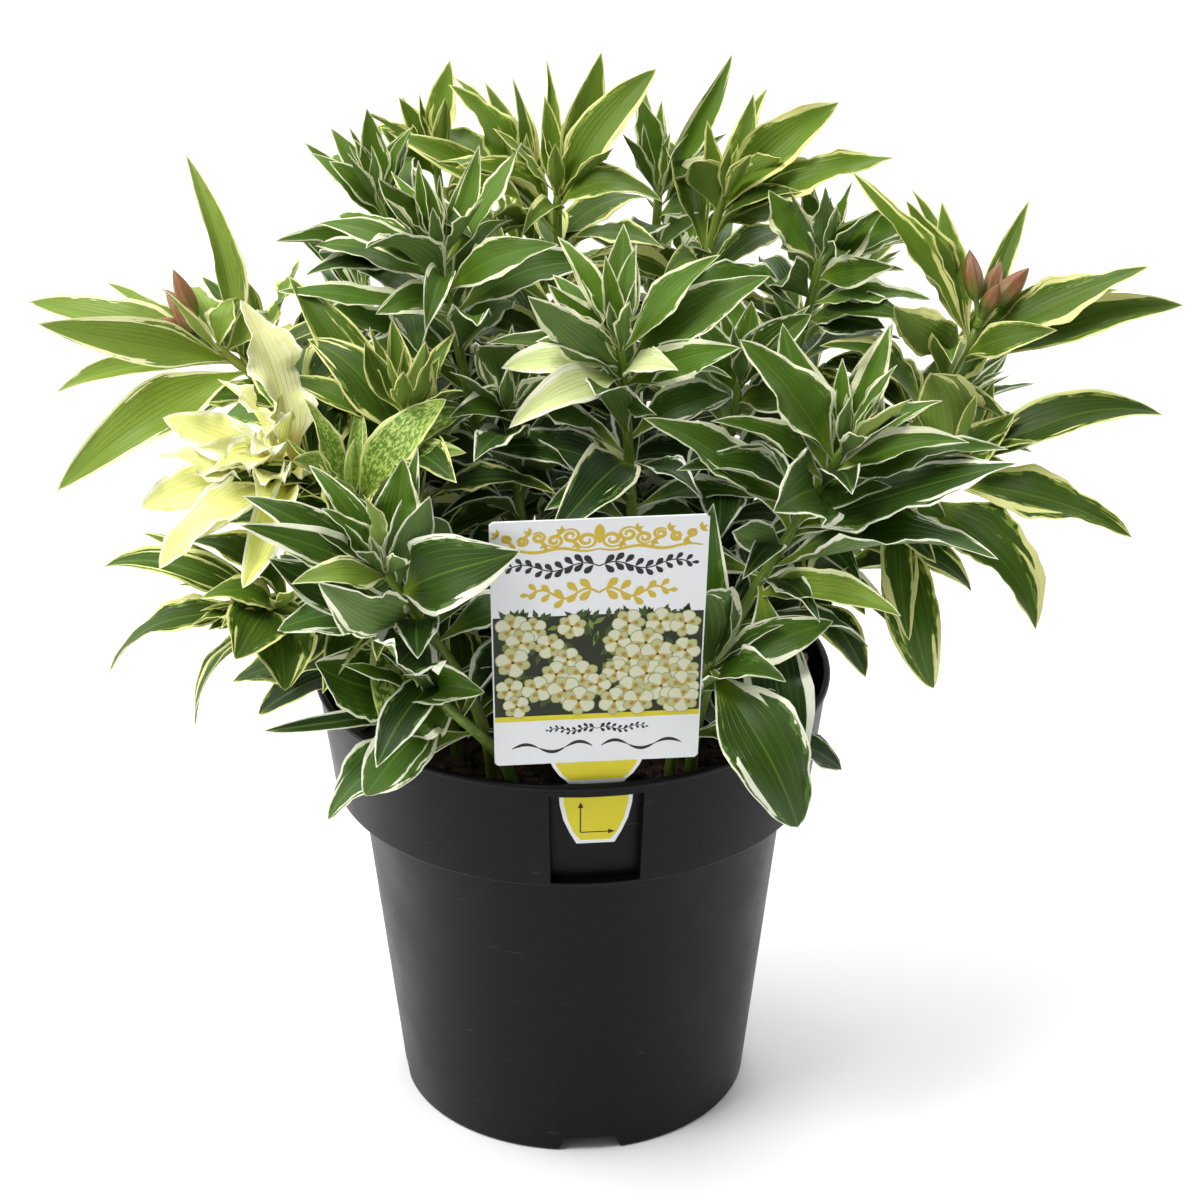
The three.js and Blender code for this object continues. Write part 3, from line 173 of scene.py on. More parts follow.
# Shoots. Each row of leaves is [distance down the stem, tip right, tip up, tip near, width, bow, roll], and
# a kind of its own where it has one. fill adds leaves by rule: [count, first and last distance down the
# stem, middle of the fan, half fan].
SHOOTS = [
  dict(name="shoot_left_budding", kind="gold", crown=[-133, -5, 315], foot=[-52, 2],
    lean=[-0.75, -0.1, 0.65],
    leaves=[
      [16, -7, 71, -8, 14, -3, 30], [5, -68, 25, -8, 14, 5, 10], [9, -67, 15, 10, 17, 4, -15],
      [14, -56, -55, 24, 18, 16, 0], [12, -65, -17, -16, 10, 6, 0], [3, -40, 31, -14, 6, 3, 0],
      [4, -32, 34, 16, 6, -5, 0], [4, -25, 24, -16, 12, 9, 20], [6, 21, 10, -24, 12, 6, 0],
      [2, 3, 22, -8, 12, 6, -20],
    ],
    fill=[3, 16, 70, 100, 80]),
  dict(name="shoot_cream", kind="cream", crown=[-110, -52, 287], foot=[-52, -28],
    lean=[-0.8, -0.35, 0.45],
    leaves=[
      [14, -7, 59, 4, 18, 3, 20], [6, -14, 32, 12, 11, 5, 40], [3, -36, 16, 10, 14, 4, -10],
      [3, -34, 8, 20, 11, 2, 10], [1, -22, 12, 22, 7, 2, 0], [7, -45, -13, 14, 15, 5, 0],
      [8, -41, -36, 16, 12, 9, 15], [10, -11, -43, 24, 15, 8, 0], [9, -28, -28, 8, 11, 8, 0],
      [1, -17, 0, 24, 11, 5, 30], [2, -3, 6, 26, 10, 4, -30],
    ],
    fill=[2, 18, 60, 90, 70]),
  dict(name="shoot_mottled", kind="mottled", crown=[-80, -62, 278], foot=[-44, -44],
    lean=[-0.3, -0.3, 0.9],
    leaves=[
      [6, 34, 37, 4, 15, 6, 10], [12, 42, 33, -10, 22, 8, -20], [2, -13, 36, 8, 9, 2, 0],
      [5, -20, 16, 14, 10, 4, 0],
    ],
    fill=[3, 10, 55, 60, 150]),
  dict(name="shoot_upper_left", kind="white", crown=[-48, -8, 352], foot=[-24, 2], lean=[-0.15, -0.1, 1],
    leaves=[
      [4, -18, 24, 12, 16, -5, 20], [5, 29, 39, 6, 12, -2, -20], [3, 17, 38, -6, 9, -2, 0],
      [2, -11, 31, 4, 7, -1, 0], [2, -3, 27, 8, 7, -1, 20], [8, -40, 18, 8, 12, 5, 0],
      [14, 43, 3, 18, 13, 7, 0], [10, -8, -29, 24, 11, 10, 0], [13, -47, 5, -12, 11, 5, 0],
      [9, -45, 15, -22, 10, 4, 0], [24, -61, -11, -10, 9, 4, 0], [18, -23, -23, 8, 12, 6, 0],
    ],
    fill=[3, 20, 120, 80, 110]),
  dict(name="shoot_left_back", kind="white", crown=[-72, 30, 360], foot=[-42, 26], lean=[-0.25, 0.05, 1],
    leaves=[
      [3, -2, 31, 8, 11, -2, 0], [4, -15, 28, -8, 8, -1, 0], [3, -11, 20, 6, 7, 0, 0],
      [7, -23, 18, 6, 9, 2, 0], [6, -19, 10, 12, 9, 3, 0], [3, 10, 27, -6, 9, -1, 0],
    ],
    fill=[4, 5, 130, 120, 120]),
  dict(name="shoot_left_rear", kind="gold", crown=[-53, 80, 362], foot=[-36, 54], lean=[-0.15, 0.2, 1],
    leaves=[
      [3, 6, 33, 6, 11, -2, 0], [4, -13, 20, 4, 8, 0, 0], [3, -10, 19, -8, 8, 0, 0],
      [6, -20, 8, 10, 9, 2, 0],
    ],
    fill=[5, 5, 130, 100, 150]),
  dict(name="shoot_top_left", kind="gold", crown=[-16, 74, 352], foot=[-12, 58], lean=[-0.1, 0.1, 1],
    leaves=[
      [5, -27, 38, 10, 16, 2, 10], [3, -26, 44, -4, 8, 1, 0], [3, -17, 39, -10, 8, 0, 0],
      [2, -7, 38, 8, 6, 0, 0], [10, -55, 19, 12, 11, 6, 0], [2, -2, 31, 0, 8, 0, 0],
    ],
    fill=[3, 6, 120, 90, 120]),
  dict(name="shoot_top_centre", kind="gold", crown=[-5, 34, 362], foot=[-6, 26], lean=[0, -0.05, 1],
    leaves=[
      [4, 17, 48, 8, 13, -3, 30], [3, 23, 48, -6, 8, 0, 0], [2, -2, 49, -9, 7, -1, 0],
      [2, -4, 33, 6, 8, -1, 0], [6, 42, 41, 4, 17, 4, 0], [7, 42, -2, 16, 13, 13, 0],
      [8, -14, -18, 20, 9, 8, 0],
    ],
    fill=[3, 14, 130, 90, 130]),
  dict(name="shoot_top_right", kind="white", crown=[34, 72, 350], foot=[22, 52], lean=[0.05, 0.1, 1],
    leaves=[
      [4, 29, 50, 6, 10, 2, 20], [3, -5, 33, 9, 12, -2, 0], [3, -8, 45, -8, 7, 0, 0],
      [2, 2, 37, -10, 7, 0, 0], [12, 28, -9, 18, 11, 6, 0], [3, 12, 30, 2, 10, -1, 0],
    ],
    fill=[3, 6, 120, 90, 120]),
  dict(name="shoot_upper_right", kind="gold", crown=[58, 46, 356], foot=[38, 36], lean=[0.25, 0, 1],
    leaves=[
      [2, 19, 41, -8, 7, -1, 0], [3, 12, 36, 2, 9, -1, 0], [5, 44, 34, 4, 18, 9, 0],
      [9, 60, 22, 12, 15, 9, 0], [8, 45, 13, -8, 11, 5, 0], [6, 21, 12, 18, 12, 4, 0],
      [5, -13, 12, 14, 14, 2, 0],
    ],
    fill=[3, 10, 130, 80, 120]),
  dict(name="shoot_right_high", kind="white", crown=[94, 24, 340], foot=[54, 24], lean=[0.15, -0.1, 1],
    leaves=[
      [4, -19, 23, 5, 14, -2, 0], [2, -1, 23, 9, 12, -3, 0], [2, -7, 27, -8, 7, 0, 0],
      [3, 17, 19, 8, 13, -2, 30], [6, 41, 13, -14, 12, 6, 0], [5, 37, 9, -8, 10, 3, 0],
      [9, 25, -7, 16, 11, 3, 40], [3, 5, -2, 20, 8, 5, 0], [22, 40, -15, 10, 10, 4, 0],
      [18, -17, -12, 12, 16, 5, 0], [26, 22, -30, 4, 13, 4, 0],
    ],
    fill=[3, 24, 110, 80, 110]),
  dict(name="shoot_right_budding", kind="gold", crown=[151, 6, 316], foot=[68, 6],
    lean=[0.3, -0.15, 0.95],
    leaves=[
      [5, -43, 60, 8, 13, 2, 30], [4, -19, 47, 10, 14, -3, 10], [3, -15, 47, -7, 11, -2, 0],
      [3, -17, 57, -12, 8, -2, 0], [2, 10, 43, 12, 10, -4, 20], [2, 18, 31, 6, 6, -1, 0],
      [3, 24, 48, -11, 8, -4, 0], [7, 58, 31, 12, 16, 5, -10], [9, 60, 15, -10, 7, 3, 0],
      [14, 80, 9, 10, 18, 6, -10], [10, 27, -1, 20, 11, 5, 0], [8, -33, 9, 20, 18, -4, 0],
    ],
    fill=[3, 16, 90, 80, 90]),
  dict(name="shoot_centre", kind="white", crown=[17, -46, 332], foot=[23, -34], lean=[-0.1, -0.2, 1],
    leaves=[
      [4, -21, 38, -5, 9, 2, 0], [3, 4, 41, -8, 12, -2, 0], [1, -7, 28, 5, 7, -1, 0],
      [3, -19, 21, 7, 12, -2, 10], [5, 33, 30, 12, 15, -2, -20], [12, 53, 23, 4, 18, 3, -10],
      [5, -22, 26, -2, 9, 1, 0], [7, -31, 18, 16, 17, -7, 20], [12, -43, -7, 0, 12, 7, 0, "cream"],
      [15, -41, -30, 14, 14, 8, 0, "cream"], [11, -53, -6, 8, 11, 3, 0], [16, 44, -2, 14, 13, 3, 20],
      [14, 22, -9, 18, 12, 3, -20, "cream"], [26, 12, -28, 10, 9, 4, 60],
      [50, -25, -70, 20, 18, 12, 0, "half"],
    ],
    fill=[3, 22, 120, 90, 100]),
  dict(name="shoot_right_front", kind="white", crown=[97, -68, 300], foot=[44, -60],
    lean=[0.35, -0.25, 0.85],
    leaves=[
      [8, -37, 38, 9, 18, 4, 10], [7, -23, 43, -5, 17, 0, 0], [4, 15, 42, 0, 11, -2, 0],
      [3, 18, 43, -10, 12, -2, 0], [2, 16, 28, 8, 7, -1, 0], [1, 20, 19, 13, 10, -3, 20, "fresh"],
      [3, 32, 18, 4, 9, 0, 0], [9, 42, 7, 12, 13, 3, 0], [17, -46, 12, 12, 14, 4, 0],
      [30, -62, 12, 24, 17, -7, 0], [24, -27, -22, 36, 24, 8, 0], [28, 56, 2, 8, 15, 5, 0],
      [40, 58, -5, 18, 27, 4, -15], [57, 49, -28, 18, 26, 2, -20], [46, -44, -24, 22, 12, -4, 30],
      [68, 18, -58, 14, 15, 5, 0, "fresh"], [66, -17, -127, -8, 20, 8, 0],
    ],
    fill=[3, 14, 90, 70, 90]),
  dict(name="shoot_left_front", kind="white", crown=[-66, -100, 268], foot=[-30, -66],
    lean=[-0.3, -0.45, 0.85],
    leaves=[
      [16, 46, 5, 26, 24, 6, 0], [4, 7, 36, 4, 16, -2, 0], [22, 20, 22, 6, 19, 3, 0],
      [4, -23, 38, -3, 11, 2, 0], [6, -43, 32, 8, 12, 2, 0], [4, -28, 22, 1, 10, 2, 0],
      [9, 19, 22, 17, 13, -3, 10], [3, 15, 40, -7, 8, -1, 0], [8, -53, 11, 13, 12, 3, 0],
      [5, -42, 6, 20, 13, 2, 10, "fresh"], [2, -6, 25, 15, 8, -1, 0, "fresh"], [22, -22, 8, 24, 20, -12, 0],
      [26, -37, 3, 12, 15, -9, 0], [38, 2, -29, 30, 22, -6, 0],
    ],
    fill=[3, 14, 90, 60, 100]),
  dict(name="shoot_low_left", kind="gold", crown=[-112, -66, 236], foot=[-60, -44],
    lean=[-0.8, -0.45, 0.3],
    leaves=[
      [6, -64, -11, 8, 12, 9, 15], [8, -62, 22, -4, 13, 5, 0], [10, -52, 25, -14, 7, 4, 0],
      [9, -35, -34, 6, 13, 8, 40], [3, -7, -16, 30, 19, 4, 0], [5, 10, -25, 22, 23, 6, 0],
      [4, -20, 10, 18, 12, 6, 0], [2, -16, -6, 14, 10, 5, 0],
    ],
    fill=[3, 12, 56, 110, 80]),
  dict(name="shoot_gold_small", kind="gold", crown=[-60, -44, 306], foot=[-38, -20], lean=[0, -0.1, 1],
    leaves=[
      [3, -13, 22, 8, 10, -3, 0], [3, -4, 31, -6, 10, -2, 0], [3, 7, 23, 10, 10, -3, 0],
      [3, 12, 17, 0, 10, -3, 0],
      [12, -50, 14, -16, 9, 3, 0], [40, -34, 52, -6, 21, 2, 20],
    ],
    fill=[2, 16, 90, 70, 140]),
  dict(name="shoot_right_low", kind="gold", crown=[146, -18, 275], foot=[70, -16], lean=[0.6, -0.2, 0.7],
    leaves=[
      [8, 74, 22, 5, 18, 5, -10], [15, 62, -30, 8, 17, 6, 10], [24, 31, -62, 14, 23, 8, 0],
      [4, 17, 15, 12, 15, 2, 0], [6, 19, -5, -5, 6, 2, 0], [5, -12, 34, 14, 27, 2, 0],
      [36, -11, -88, 12, 17, 10, 0], [32, -25, -68, 18, 12, 8, 0],
    ],
    fill=[3, 12, 80, 70, 80]),
  dict(name="shoot_low_front", kind="white", crown=[50, -84, 222], foot=[36, -66],
    lean=[0.25, -0.35, 0.9],
    leaves=[
      [3, 34, -61, 15, 25, 13, 0], [2, -4, 29, 26, 26, 4, 0], [6, 0, 57, 4, 15, 2, 0],
      [12, 34, -14, 12, 16, 5, 0], [5, 46, 10, 4, 14, 5, 0],
    ],
    fill=[2, 14, 40, 330, 60]),
  dict(name="shoot_low_front_left", kind="white", crown=[-52, -86, 214], foot=[-22, -74],
    lean=[-0.4, -0.3, 0.8],
    leaves=[
      [4, -38, 12, 20, 23, -11, 0], [14, -24, -42, 2, 17, 9, 0], [9, -12, -18, 2, 18, 5, 0],
      [12, -60, -16, 2, 8, 3, 0], [10, -42, -17, 0, 12, 4, 0], [2, 22, 1, 26, 20, 4, 0],
      [3, -6, 10, 4, 13, 3, 0],
    ],
    fill=[2, 8, 30, 150, 60]),
  dict(name="shoot_inner_right", kind="white", crown=[112, -8, 268], foot=[57, -4], lean=[0.4, -0.2, 0.8],
    leaves=[
      [3, 14, 18, 12, 15, 4, 0], [5, -16, 10, 16, 15, 4, 0], [8, 30, -24, 10, 16, 7, 0],
      [12, -6, -22, 18, 16, 6, 0],
      [6, 34, 4, -4, 14, 4, 0],
    ],
    fill=[3, 14, 90, 300, 100]),
  dict(name="shoot_inner_left", kind="gold", crown=[-92, 12, 268], foot=[-68, -8], lean=[-0.3, -0.1, 0.9],
    leaves=[
      [3, -12, 24, 8, 15, 4, 0], [5, 14, 12, 14, 16, 4, 0], [8, -32, -6, 8, 15, 6, 0],
      [12, 2, -20, 18, 17, 6, 0],
    ],
    fill=[3, 14, 90, 200, 100]),
  dict(name="shoot_middle_left", kind="white", crown=[-24, -30, 300], foot=[-14, -22],
    lean=[-0.1, -0.3, 1],
    leaves=[
      [4, -8, 24, 16, 22, 6, 0], [6, 22, 4, 18, 15, 5, 0], [8, -24, -4, 14, 16, 6, 0],
      [3, 12, 22, 2, 13, 0, 0],
    ],
    fill=[3, 8, 110, 250, 150]),
  dict(name="shoot_middle_right", kind="white", crown=[62, -18, 306], foot=[40, -8], lean=[0.1, -0.2, 1],
    leaves=[
      [4, 26, 22, 8, 16, 4, 0], [6, -16, 24, 8, 14, 2, 0], [8, 34, -4, 12, 18, 5, 0],
      [3, 4, 28, 0, 12, 0, 0],
    ],
    fill=[3, 8, 110, 300, 150]),
  dict(name="shoot_rear_left", kind="gold", crown=[-122, 54, 296], foot=[-60, 40], lean=[-0.6, 0.3, 0.8],
    leaves=[],
    fill=[9, 2, 110, 150, 180]),
  dict(name="shoot_rear_left_outer", kind="white", crown=[-86, 116, 294], foot=[-46, 64],
    lean=[-0.4, 0.5, 0.8],
    leaves=[],
    fill=[9, 2, 110, 120, 180]),
  dict(name="shoot_rear_centre", kind="gold", crown=[-22, 134, 306], foot=[-12, 74],
    lean=[-0.1, 0.5, 0.85],
    leaves=[],
    fill=[9, 2, 120, 90, 180]),
  dict(name="shoot_rear_right", kind="white", crown=[48, 128, 304], foot=[22, 72], lean=[0.15, 0.5, 0.85],
    leaves=[],
    fill=[9, 2, 120, 60, 180]),
  dict(name="shoot_rear_right_outer", kind="gold", crown=[108, 92, 304], foot=[52, 54],
    lean=[0.5, 0.4, 0.8],
    leaves=[],
    fill=[9, 2, 110, 40, 180]),
  dict(name="shoot_rear_right_low", kind="white", crown=[150, 52, 268], foot=[70, 30],
    lean=[0.7, 0.2, 0.6],
    leaves=[],
    fill=[9, 2, 90, 20, 180]),
]

# Clusters of flower buds: tips told as for leaves, then each bud's width
BUD_CLUSTERS = [
  dict(name="buds_left", shoot="shoot_left_budding",
    buds=[[-13, 27, 6, 8], [-12, 14, 13, 9], [-21, 8, 8, 9], [-17, 20, -4, 8]]),
  dict(name="buds_right", shoot="shoot_right_budding",
    buds=[[-3, 29, 2, 8], [19, 22, 4, 9], [7, 16, 12, 6], [10, 25, -7, 7]]),
]
BUD_STALK_RADIUS = 1.3
BUD_START = 4

# Small leaves that the part's source leaves out: the young ones round each crown and those down each stem
YOUNG_LEAVES = 6
RUFFLED_YOUNG_LEAVES = 13
LOWER_LEAF_SPACING = 5.6
LOWER_LEAVES_START = 20
BARE_STEM = 16
YOUNG_LEAF_DRAWS = 100
LOWER_LEAF_DRAWS = 200

# Small leaves keep clear of the tag, the rim and the mix.
TAG_MIDDLE_X = 9
TAG_REACH = 47
TAG_FRONT_Y = -84
TAG_LOW_Z = 150
RIM_INSIDE = 84

# Leaves turn from deep green with white margins to yellow green with cream ones between these heights.
LOW_LEAF_Z = 270
HIGH_LEAF_Z = 420
# Leaves lower than this, and cream and mottled ones, end in rounder tips by this share of their width.
BLUNT_BELOW_Z = 270
BLUNT_END = 0.16

# The camera that took the photograph, in metres and degrees
CAMERA_PLACE = (0, -1.127, 0.743)
CAMERA_PITCH = 25.43
CAMERA_YAW = 0.54
CAMERA_LENS = 97.2

# How bright the room is in front of the plant and behind it, and how far the light comes from the left
FRONT_LIGHT = 0.28
BACK_LIGHT = 0.95
LEFT_BIAS = 0.5

# Soft lights: name, place, what they face, size in metres, power in watts
LIGHTS = [
    ("key", (-0.7, -0.7, 1.9), (0, 0, 0.25), 0.6, 22),
    ("left", (-1.5, 0.2, 1.0), (0, 0, 0.3), 1.8, 22),
    ("right", (1.4, 0.5, 0.5), (0, 0, 0.2), 1.0, 5),
    ("back", (0.2, 1.0, 1.6), (0, 0, 0.3), 0.8, 12),
]


def draw(shoot, leaf, use):
    """A repeatable draw from 0 to 1 for a use of a leaf of a shoot, the same as in the part's source."""
    mask = 0xFFFFFFFF
    h = ((shoot + 1) * 374761393 ^ (leaf + 1) * 668265263 ^ (use + 1) * 1442695041) & mask
    h = (h ^ (h >> 13)) * 1274126177 & mask
    return (h ^ (h >> 16)) / 4294967296


def bezier(points, t):
    """Points of a cubic curve at the shares t, and its directions there."""
    p = np.array([tuple(q) for q in points], float)
    t = np.atleast_1d(np.asarray(t, float))[:, None]
    k = 1 - t
    place = k**3 * p[0] + 3 * k * k * t * p[1] + 3 * k * t * t * p[2] + t**3 * p[3]
    ahead = 3 * k * k * (p[1] - p[0]) + 6 * k * t * (p[2] - p[1]) + 3 * t * t * (p[3] - p[2])
    return place, ahead / np.linalg.norm(ahead, axis=1)[:, None]


def stem_curve(spec):
    """A stem's foot and the four control points of its bend: straight up, then over to its crown."""
    crown = Vector(spec["crown"])
    foot = Vector((*spec["foot"], MIX_TOP_Z - STEM_HOLE_DEPTH + GAP))
    neck = Vector((foot.x, foot.y, MIX_TOP_Z + 4))
    reach = (crown - neck).length
    lean = Vector(spec["lean"]).normalized()
    return foot, [neck, neck + UP * reach * 0.35, crown - lean * reach * 0.4, crown], reach


def stem_at(bend, down):
    """The point at a distance down the stem from the crown."""
    places, _ = bezier(bend, np.linspace(0, 1, 61))
    last = Vector(places[60])
    left = down
    for place in reversed(places[:60]):
        following = Vector(place)
        step = (last - following).length
        if step >= left:
            return last.lerp(following, left / step)
        left -= step
        last = following
    return last


def rooted(index, n, bend, down, tip, width, bow, roll, facing, kind, age):
    """A leaf's plan: root, tip, width, bow, roll, cup, twist and the way it faces out."""
    root = stem_at(bend, down + ROOT_STAGGER * (n % 4))
    out = tip - root
    out.z = 0
    if out.length < 4:
        out += Vector((root.x * 0.02, -0.5, 0))
    out.normalize()
    return dict(
        root=root + out * ROOT_OFFSET, tip=tip, width=width, bow=bow, facing=facing, out=out,
        roll=roll + (draw(index, n, 1) - 0.5) * ROLL_SPREAD, cup=LEAST_CUP + draw(index, n, 2) * CUP_SPREAD,
        twist=(draw(index, n, 3) - 0.5) * TWIST_SPREAD, sway=(draw(index, n, 4) - 0.5) * SWAY_SPREAD,
        kind=kind, age=age, rand=draw(index, n, 8),
        curl=CURLED_SHOOT_CURL * draw(index, n, 9) if SHOOTS[index]["name"] == CURLED_SHOOT
        else LEAST_CURL + draw(index, n, 9) * CURL_SPREAD,
        wave=RUFFLED_WAVE if kind == "cream" else LEAST_WAVE + draw(index, n, 10) ** 2 * WAVE_SPREAD,
    )


# The shoot that stands in the most light, whose leaves all take the bright fresh look as painted light, and
# the look of a leaf coloured unlike its shoot
SUNLIT_SHOOT = "shoot_left_budding"
OWN_KINDS = dict(cream="pale", fresh="fresh", half="half")


def leaf_plans(spec, index, bend):
    """Every leaf of a shoot that the part's source may hold."""
    crown = Vector(spec["crown"])
    plans = []
    for n, (down, right, up, near, width, bow, roll, *own) in enumerate(spec["leaves"]):
        tip = crown + VIEW_RIGHT * right + VIEW_UP * up + VIEW_NEAR * near
        # Every leaf of the sunlit shoot takes the bright fresh look: painted light.
        kind = OWN_KINDS[own[0]] if own else "fresh" if spec["name"] == SUNLIT_SHOOT else spec["kind"]
        age = min(1, 0.1 + down / 45)
        breadth = width * FEATURE_BREADTH
        plans.append(rooted(index, n, bend, down, tip, breadth, bow, roll, FACING, kind, age))
    count, first, final, middle, spread = spec["fill"]
    steep = not spec["leaves"]
    rule = STEEP_RULE_LEAVES if steep else RULE_LEAVES
    for i in range(count):
        n = len(spec["leaves"]) + i
        share = i / (count - 1) if count > 1 else 0
        down = first + (final - first) * share**1.4
        around = (i * GOLDEN_TURN / 360 + 0.13 * index) % 1
        azimuth = math.radians(middle + (2 * around - 1) * spread)
        fall = rule["fall"] * share ** rule["power"]
        pitch = math.radians(rule["pitch"] - fall + (draw(index, n, 5) - 0.5) * 20)
        length = (rule["length"] + rule["gain"] * share) * (0.85 + 0.3 * draw(index, n, 6))
        tip = stem_at(bend, down) + along(azimuth, pitch) * length
        width = length * (0.3 + 0.1 * draw(index, n, 7))
        bow = length * (-0.03 if steep and share < 0.3 else 0.11)
        plans.append(rooted(index, n, bend, down, tip, width, bow, 0, 0 if steep else FACING / 2,
                            spec["kind"], min(1, 0.15 + down / 60)))
    return plans


def along(azimuth, pitch):
    """The direction at an azimuth and a pitch."""
    level = math.cos(pitch)
    return Vector((level * math.cos(azimuth), level * math.sin(azimuth), math.sin(pitch)))


def dodged(plan, dodge):
    """A plan changed by one of the dodges."""
    swing, lift, keep = dodge
    turn = Matrix.Rotation(math.radians(swing), 3, "Z")
    out = turn @ plan["out"]
    chord = turn @ (plan["tip"] - plan["root"])
    chord = Matrix.Rotation(math.radians(-lift), 3, UP.cross(out)) @ chord * keep
    return dict(plan, tip=plan["root"] + chord, out=out, width=plan["width"] * keep, bow=plan["bow"] * keep)


def outline(t):
    """How wide a blade is along its length, as a share of its width."""
    petiole = np.minimum(t / 0.42, 1)
    opened = 0.3 + 0.7 * petiole * petiole * (3 - 2 * petiole)
    return opened * np.sin(np.pi * np.clip(t, 0, 1) ** 0.8) ** 0.85


def fine_outline(t, blunt=0.0):
    """The same outline, a little fuller past its middle, as it is between the source's few rings."""
    end = np.sqrt(np.sin(np.pi * np.clip(2 * t - 1, 0, 1)).clip(0, 1))
    return outline(t) + 0.1 * np.sin(np.pi * np.clip(t, 0, 1)) ** 2 + blunt * end


def blade_frame(plan, t):
    """The midrib's points at the shares t, with the blade's sideways and upward directions there."""
    chord = plan["tip"] - plan["root"]
    length = chord.length
    ahead = chord.normalized()
    level = UP.cross(plan["out"])
    seen = VIEW_NEAR.cross(ahead).normalized()
    if seen.dot(level) < 0:
        seen.negate()
    level = (level - ahead * level.dot(ahead)).normalized()
    flat = (level * (1 - plan["facing"]) + seen * plan["facing"]).normalized()
    face = ahead.cross(flat)
    roll = math.radians(plan["roll"])
    side = np.array(flat * math.cos(roll) + face * math.sin(roll))

    def lift(share):
        return (plan["root"] + chord * share + face * (4 / 3 * plan["bow"])
                + flat * (plan["sway"] * length * share))

    place, direction = bezier([plan["root"], lift(1 / 3), lift(2 / 3), plan["tip"]], t)
    across = side - (direction @ side)[:, None] * direction
    across /= np.linalg.norm(across, axis=1)[:, None]
    normal = np.cross(direction, across)
    turn = np.radians(plan["twist"] * t)[:, None]
    sideways = across * np.cos(turn) + normal * np.sin(turn)
    return place, sideways, np.cross(direction, sideways)


def blade_edges(plan, t):
    """The two edge points of a blade at one share of its length."""
    place, sideways, normal = blade_frame(plan, np.array([t]))
    half = plan["width"] / 2 * float(outline(np.array([t]))[0])
    cup = math.radians(plan["cup"])
    high = place[0] + normal[0] * half * math.sin(cup)
    return high + sideways[0] * half * math.cos(cup), high - sideways[0] * half * math.cos(cup)


def chosen_plan(plan, tree):
    """The dodge of a plan that the CAD node holds, found by its tip or by its last pair of edge points."""
    last = NARROW_LAST if plan["width"] < NARROW_WIDTH or plan["facing"] == 0 else WIDE_LAST
    for dodge in DODGES:
        tried = dodged(plan, dodge)
        if tree.find(tried["tip"] * MM)[2] < FOUND_WITHIN:
            return tried
        if all(tree.find(Vector(edge) * MM)[2] < FOUND_WITHIN for edge in blade_edges(tried, last)):
            return tried
    return None


class PlantMesh:
    """Gathers the parts of one shoot or cluster as one mesh with the leaf attributes."""

    def __init__(self):
        self.points, self.faces, self.slots, self.place, self.nature, self.uvs = [], [], [], [], [], []
        self.count = 0

    def grid(self, points, place, nature, slot, closed_rows=False):
        """Adds a grid of points, rows by columns."""
        rows, columns = points.shape[:2]
        index = np.arange(rows * columns).reshape(rows, columns) + self.count
        if closed_rows:
            index = np.concatenate([index, index[:, :1]], axis=1)
        quads = np.stack([index[:-1, :-1], index[:-1, 1:], index[1:, 1:], index[1:, :-1]], axis=-1)
        self.faces.append(quads.reshape(-1, 4))
        self.slots.append(np.full(len(self.faces[-1]), slot))
        self.points.append(points.reshape(-1, 3))
        self.place.append(place.reshape(-1, 3))
        self.nature.append(nature.reshape(-1, 3))
        self.count += rows * columns

    def build(self, name, materials):
        """Makes the object, in metres."""
        mesh = bpy.data.meshes.new(name)
        points = np.concatenate(self.points) * MM
        faces = np.concatenate(self.faces)
        mesh.from_pydata(points.tolist(), [], faces.tolist())
        for material in materials:
            mesh.materials.append(material)
        mesh.polygons.foreach_set("material_index", np.concatenate(self.slots).astype(np.int32))
        mesh.polygons.foreach_set("use_smooth", np.ones(len(faces), bool))
        place = np.concatenate(self.place)
        for attribute, values in (("blade_place", place), ("blade_nature", np.concatenate(self.nature))):
            layer = mesh.attributes.new(attribute, "FLOAT_VECTOR", "POINT")
            layer.data.foreach_set("vector", values.astype(np.float32).ravel())
        corners = np.empty(len(mesh.loops), np.int32)
        mesh.loops.foreach_get("vertex_index", corners)
        layer = mesh.uv_layers.new(name="blade")
        across_and_along = place[:, :2] * (0.5, 1) + (0.5, 0)
        layer.data.foreach_set("uv", across_and_along[corners].astype(np.float32).ravel())
        mesh.update()
        obj = bpy.data.objects.new(name, mesh)
        bpy.context.scene.collection.objects.link(obj)
        return obj


def freshness(plan):
    """How yellow and young a leaf looks, 0 to 1: more so near a crown and high on the plant."""
    high = (plan["tip"].z - LOW_LEAF_Z) / (HIGH_LEAF_Z - LOW_LEAF_Z)
    value = FRESH_BY_AGE * (1 - plan["age"]) + FRESH_BY_HEIGHT * min(max(high, 0), 1)
    value += FRESH_BY_CHANCE * (plan["rand"] - 0.5)
    return min(max(value, 0), 1)


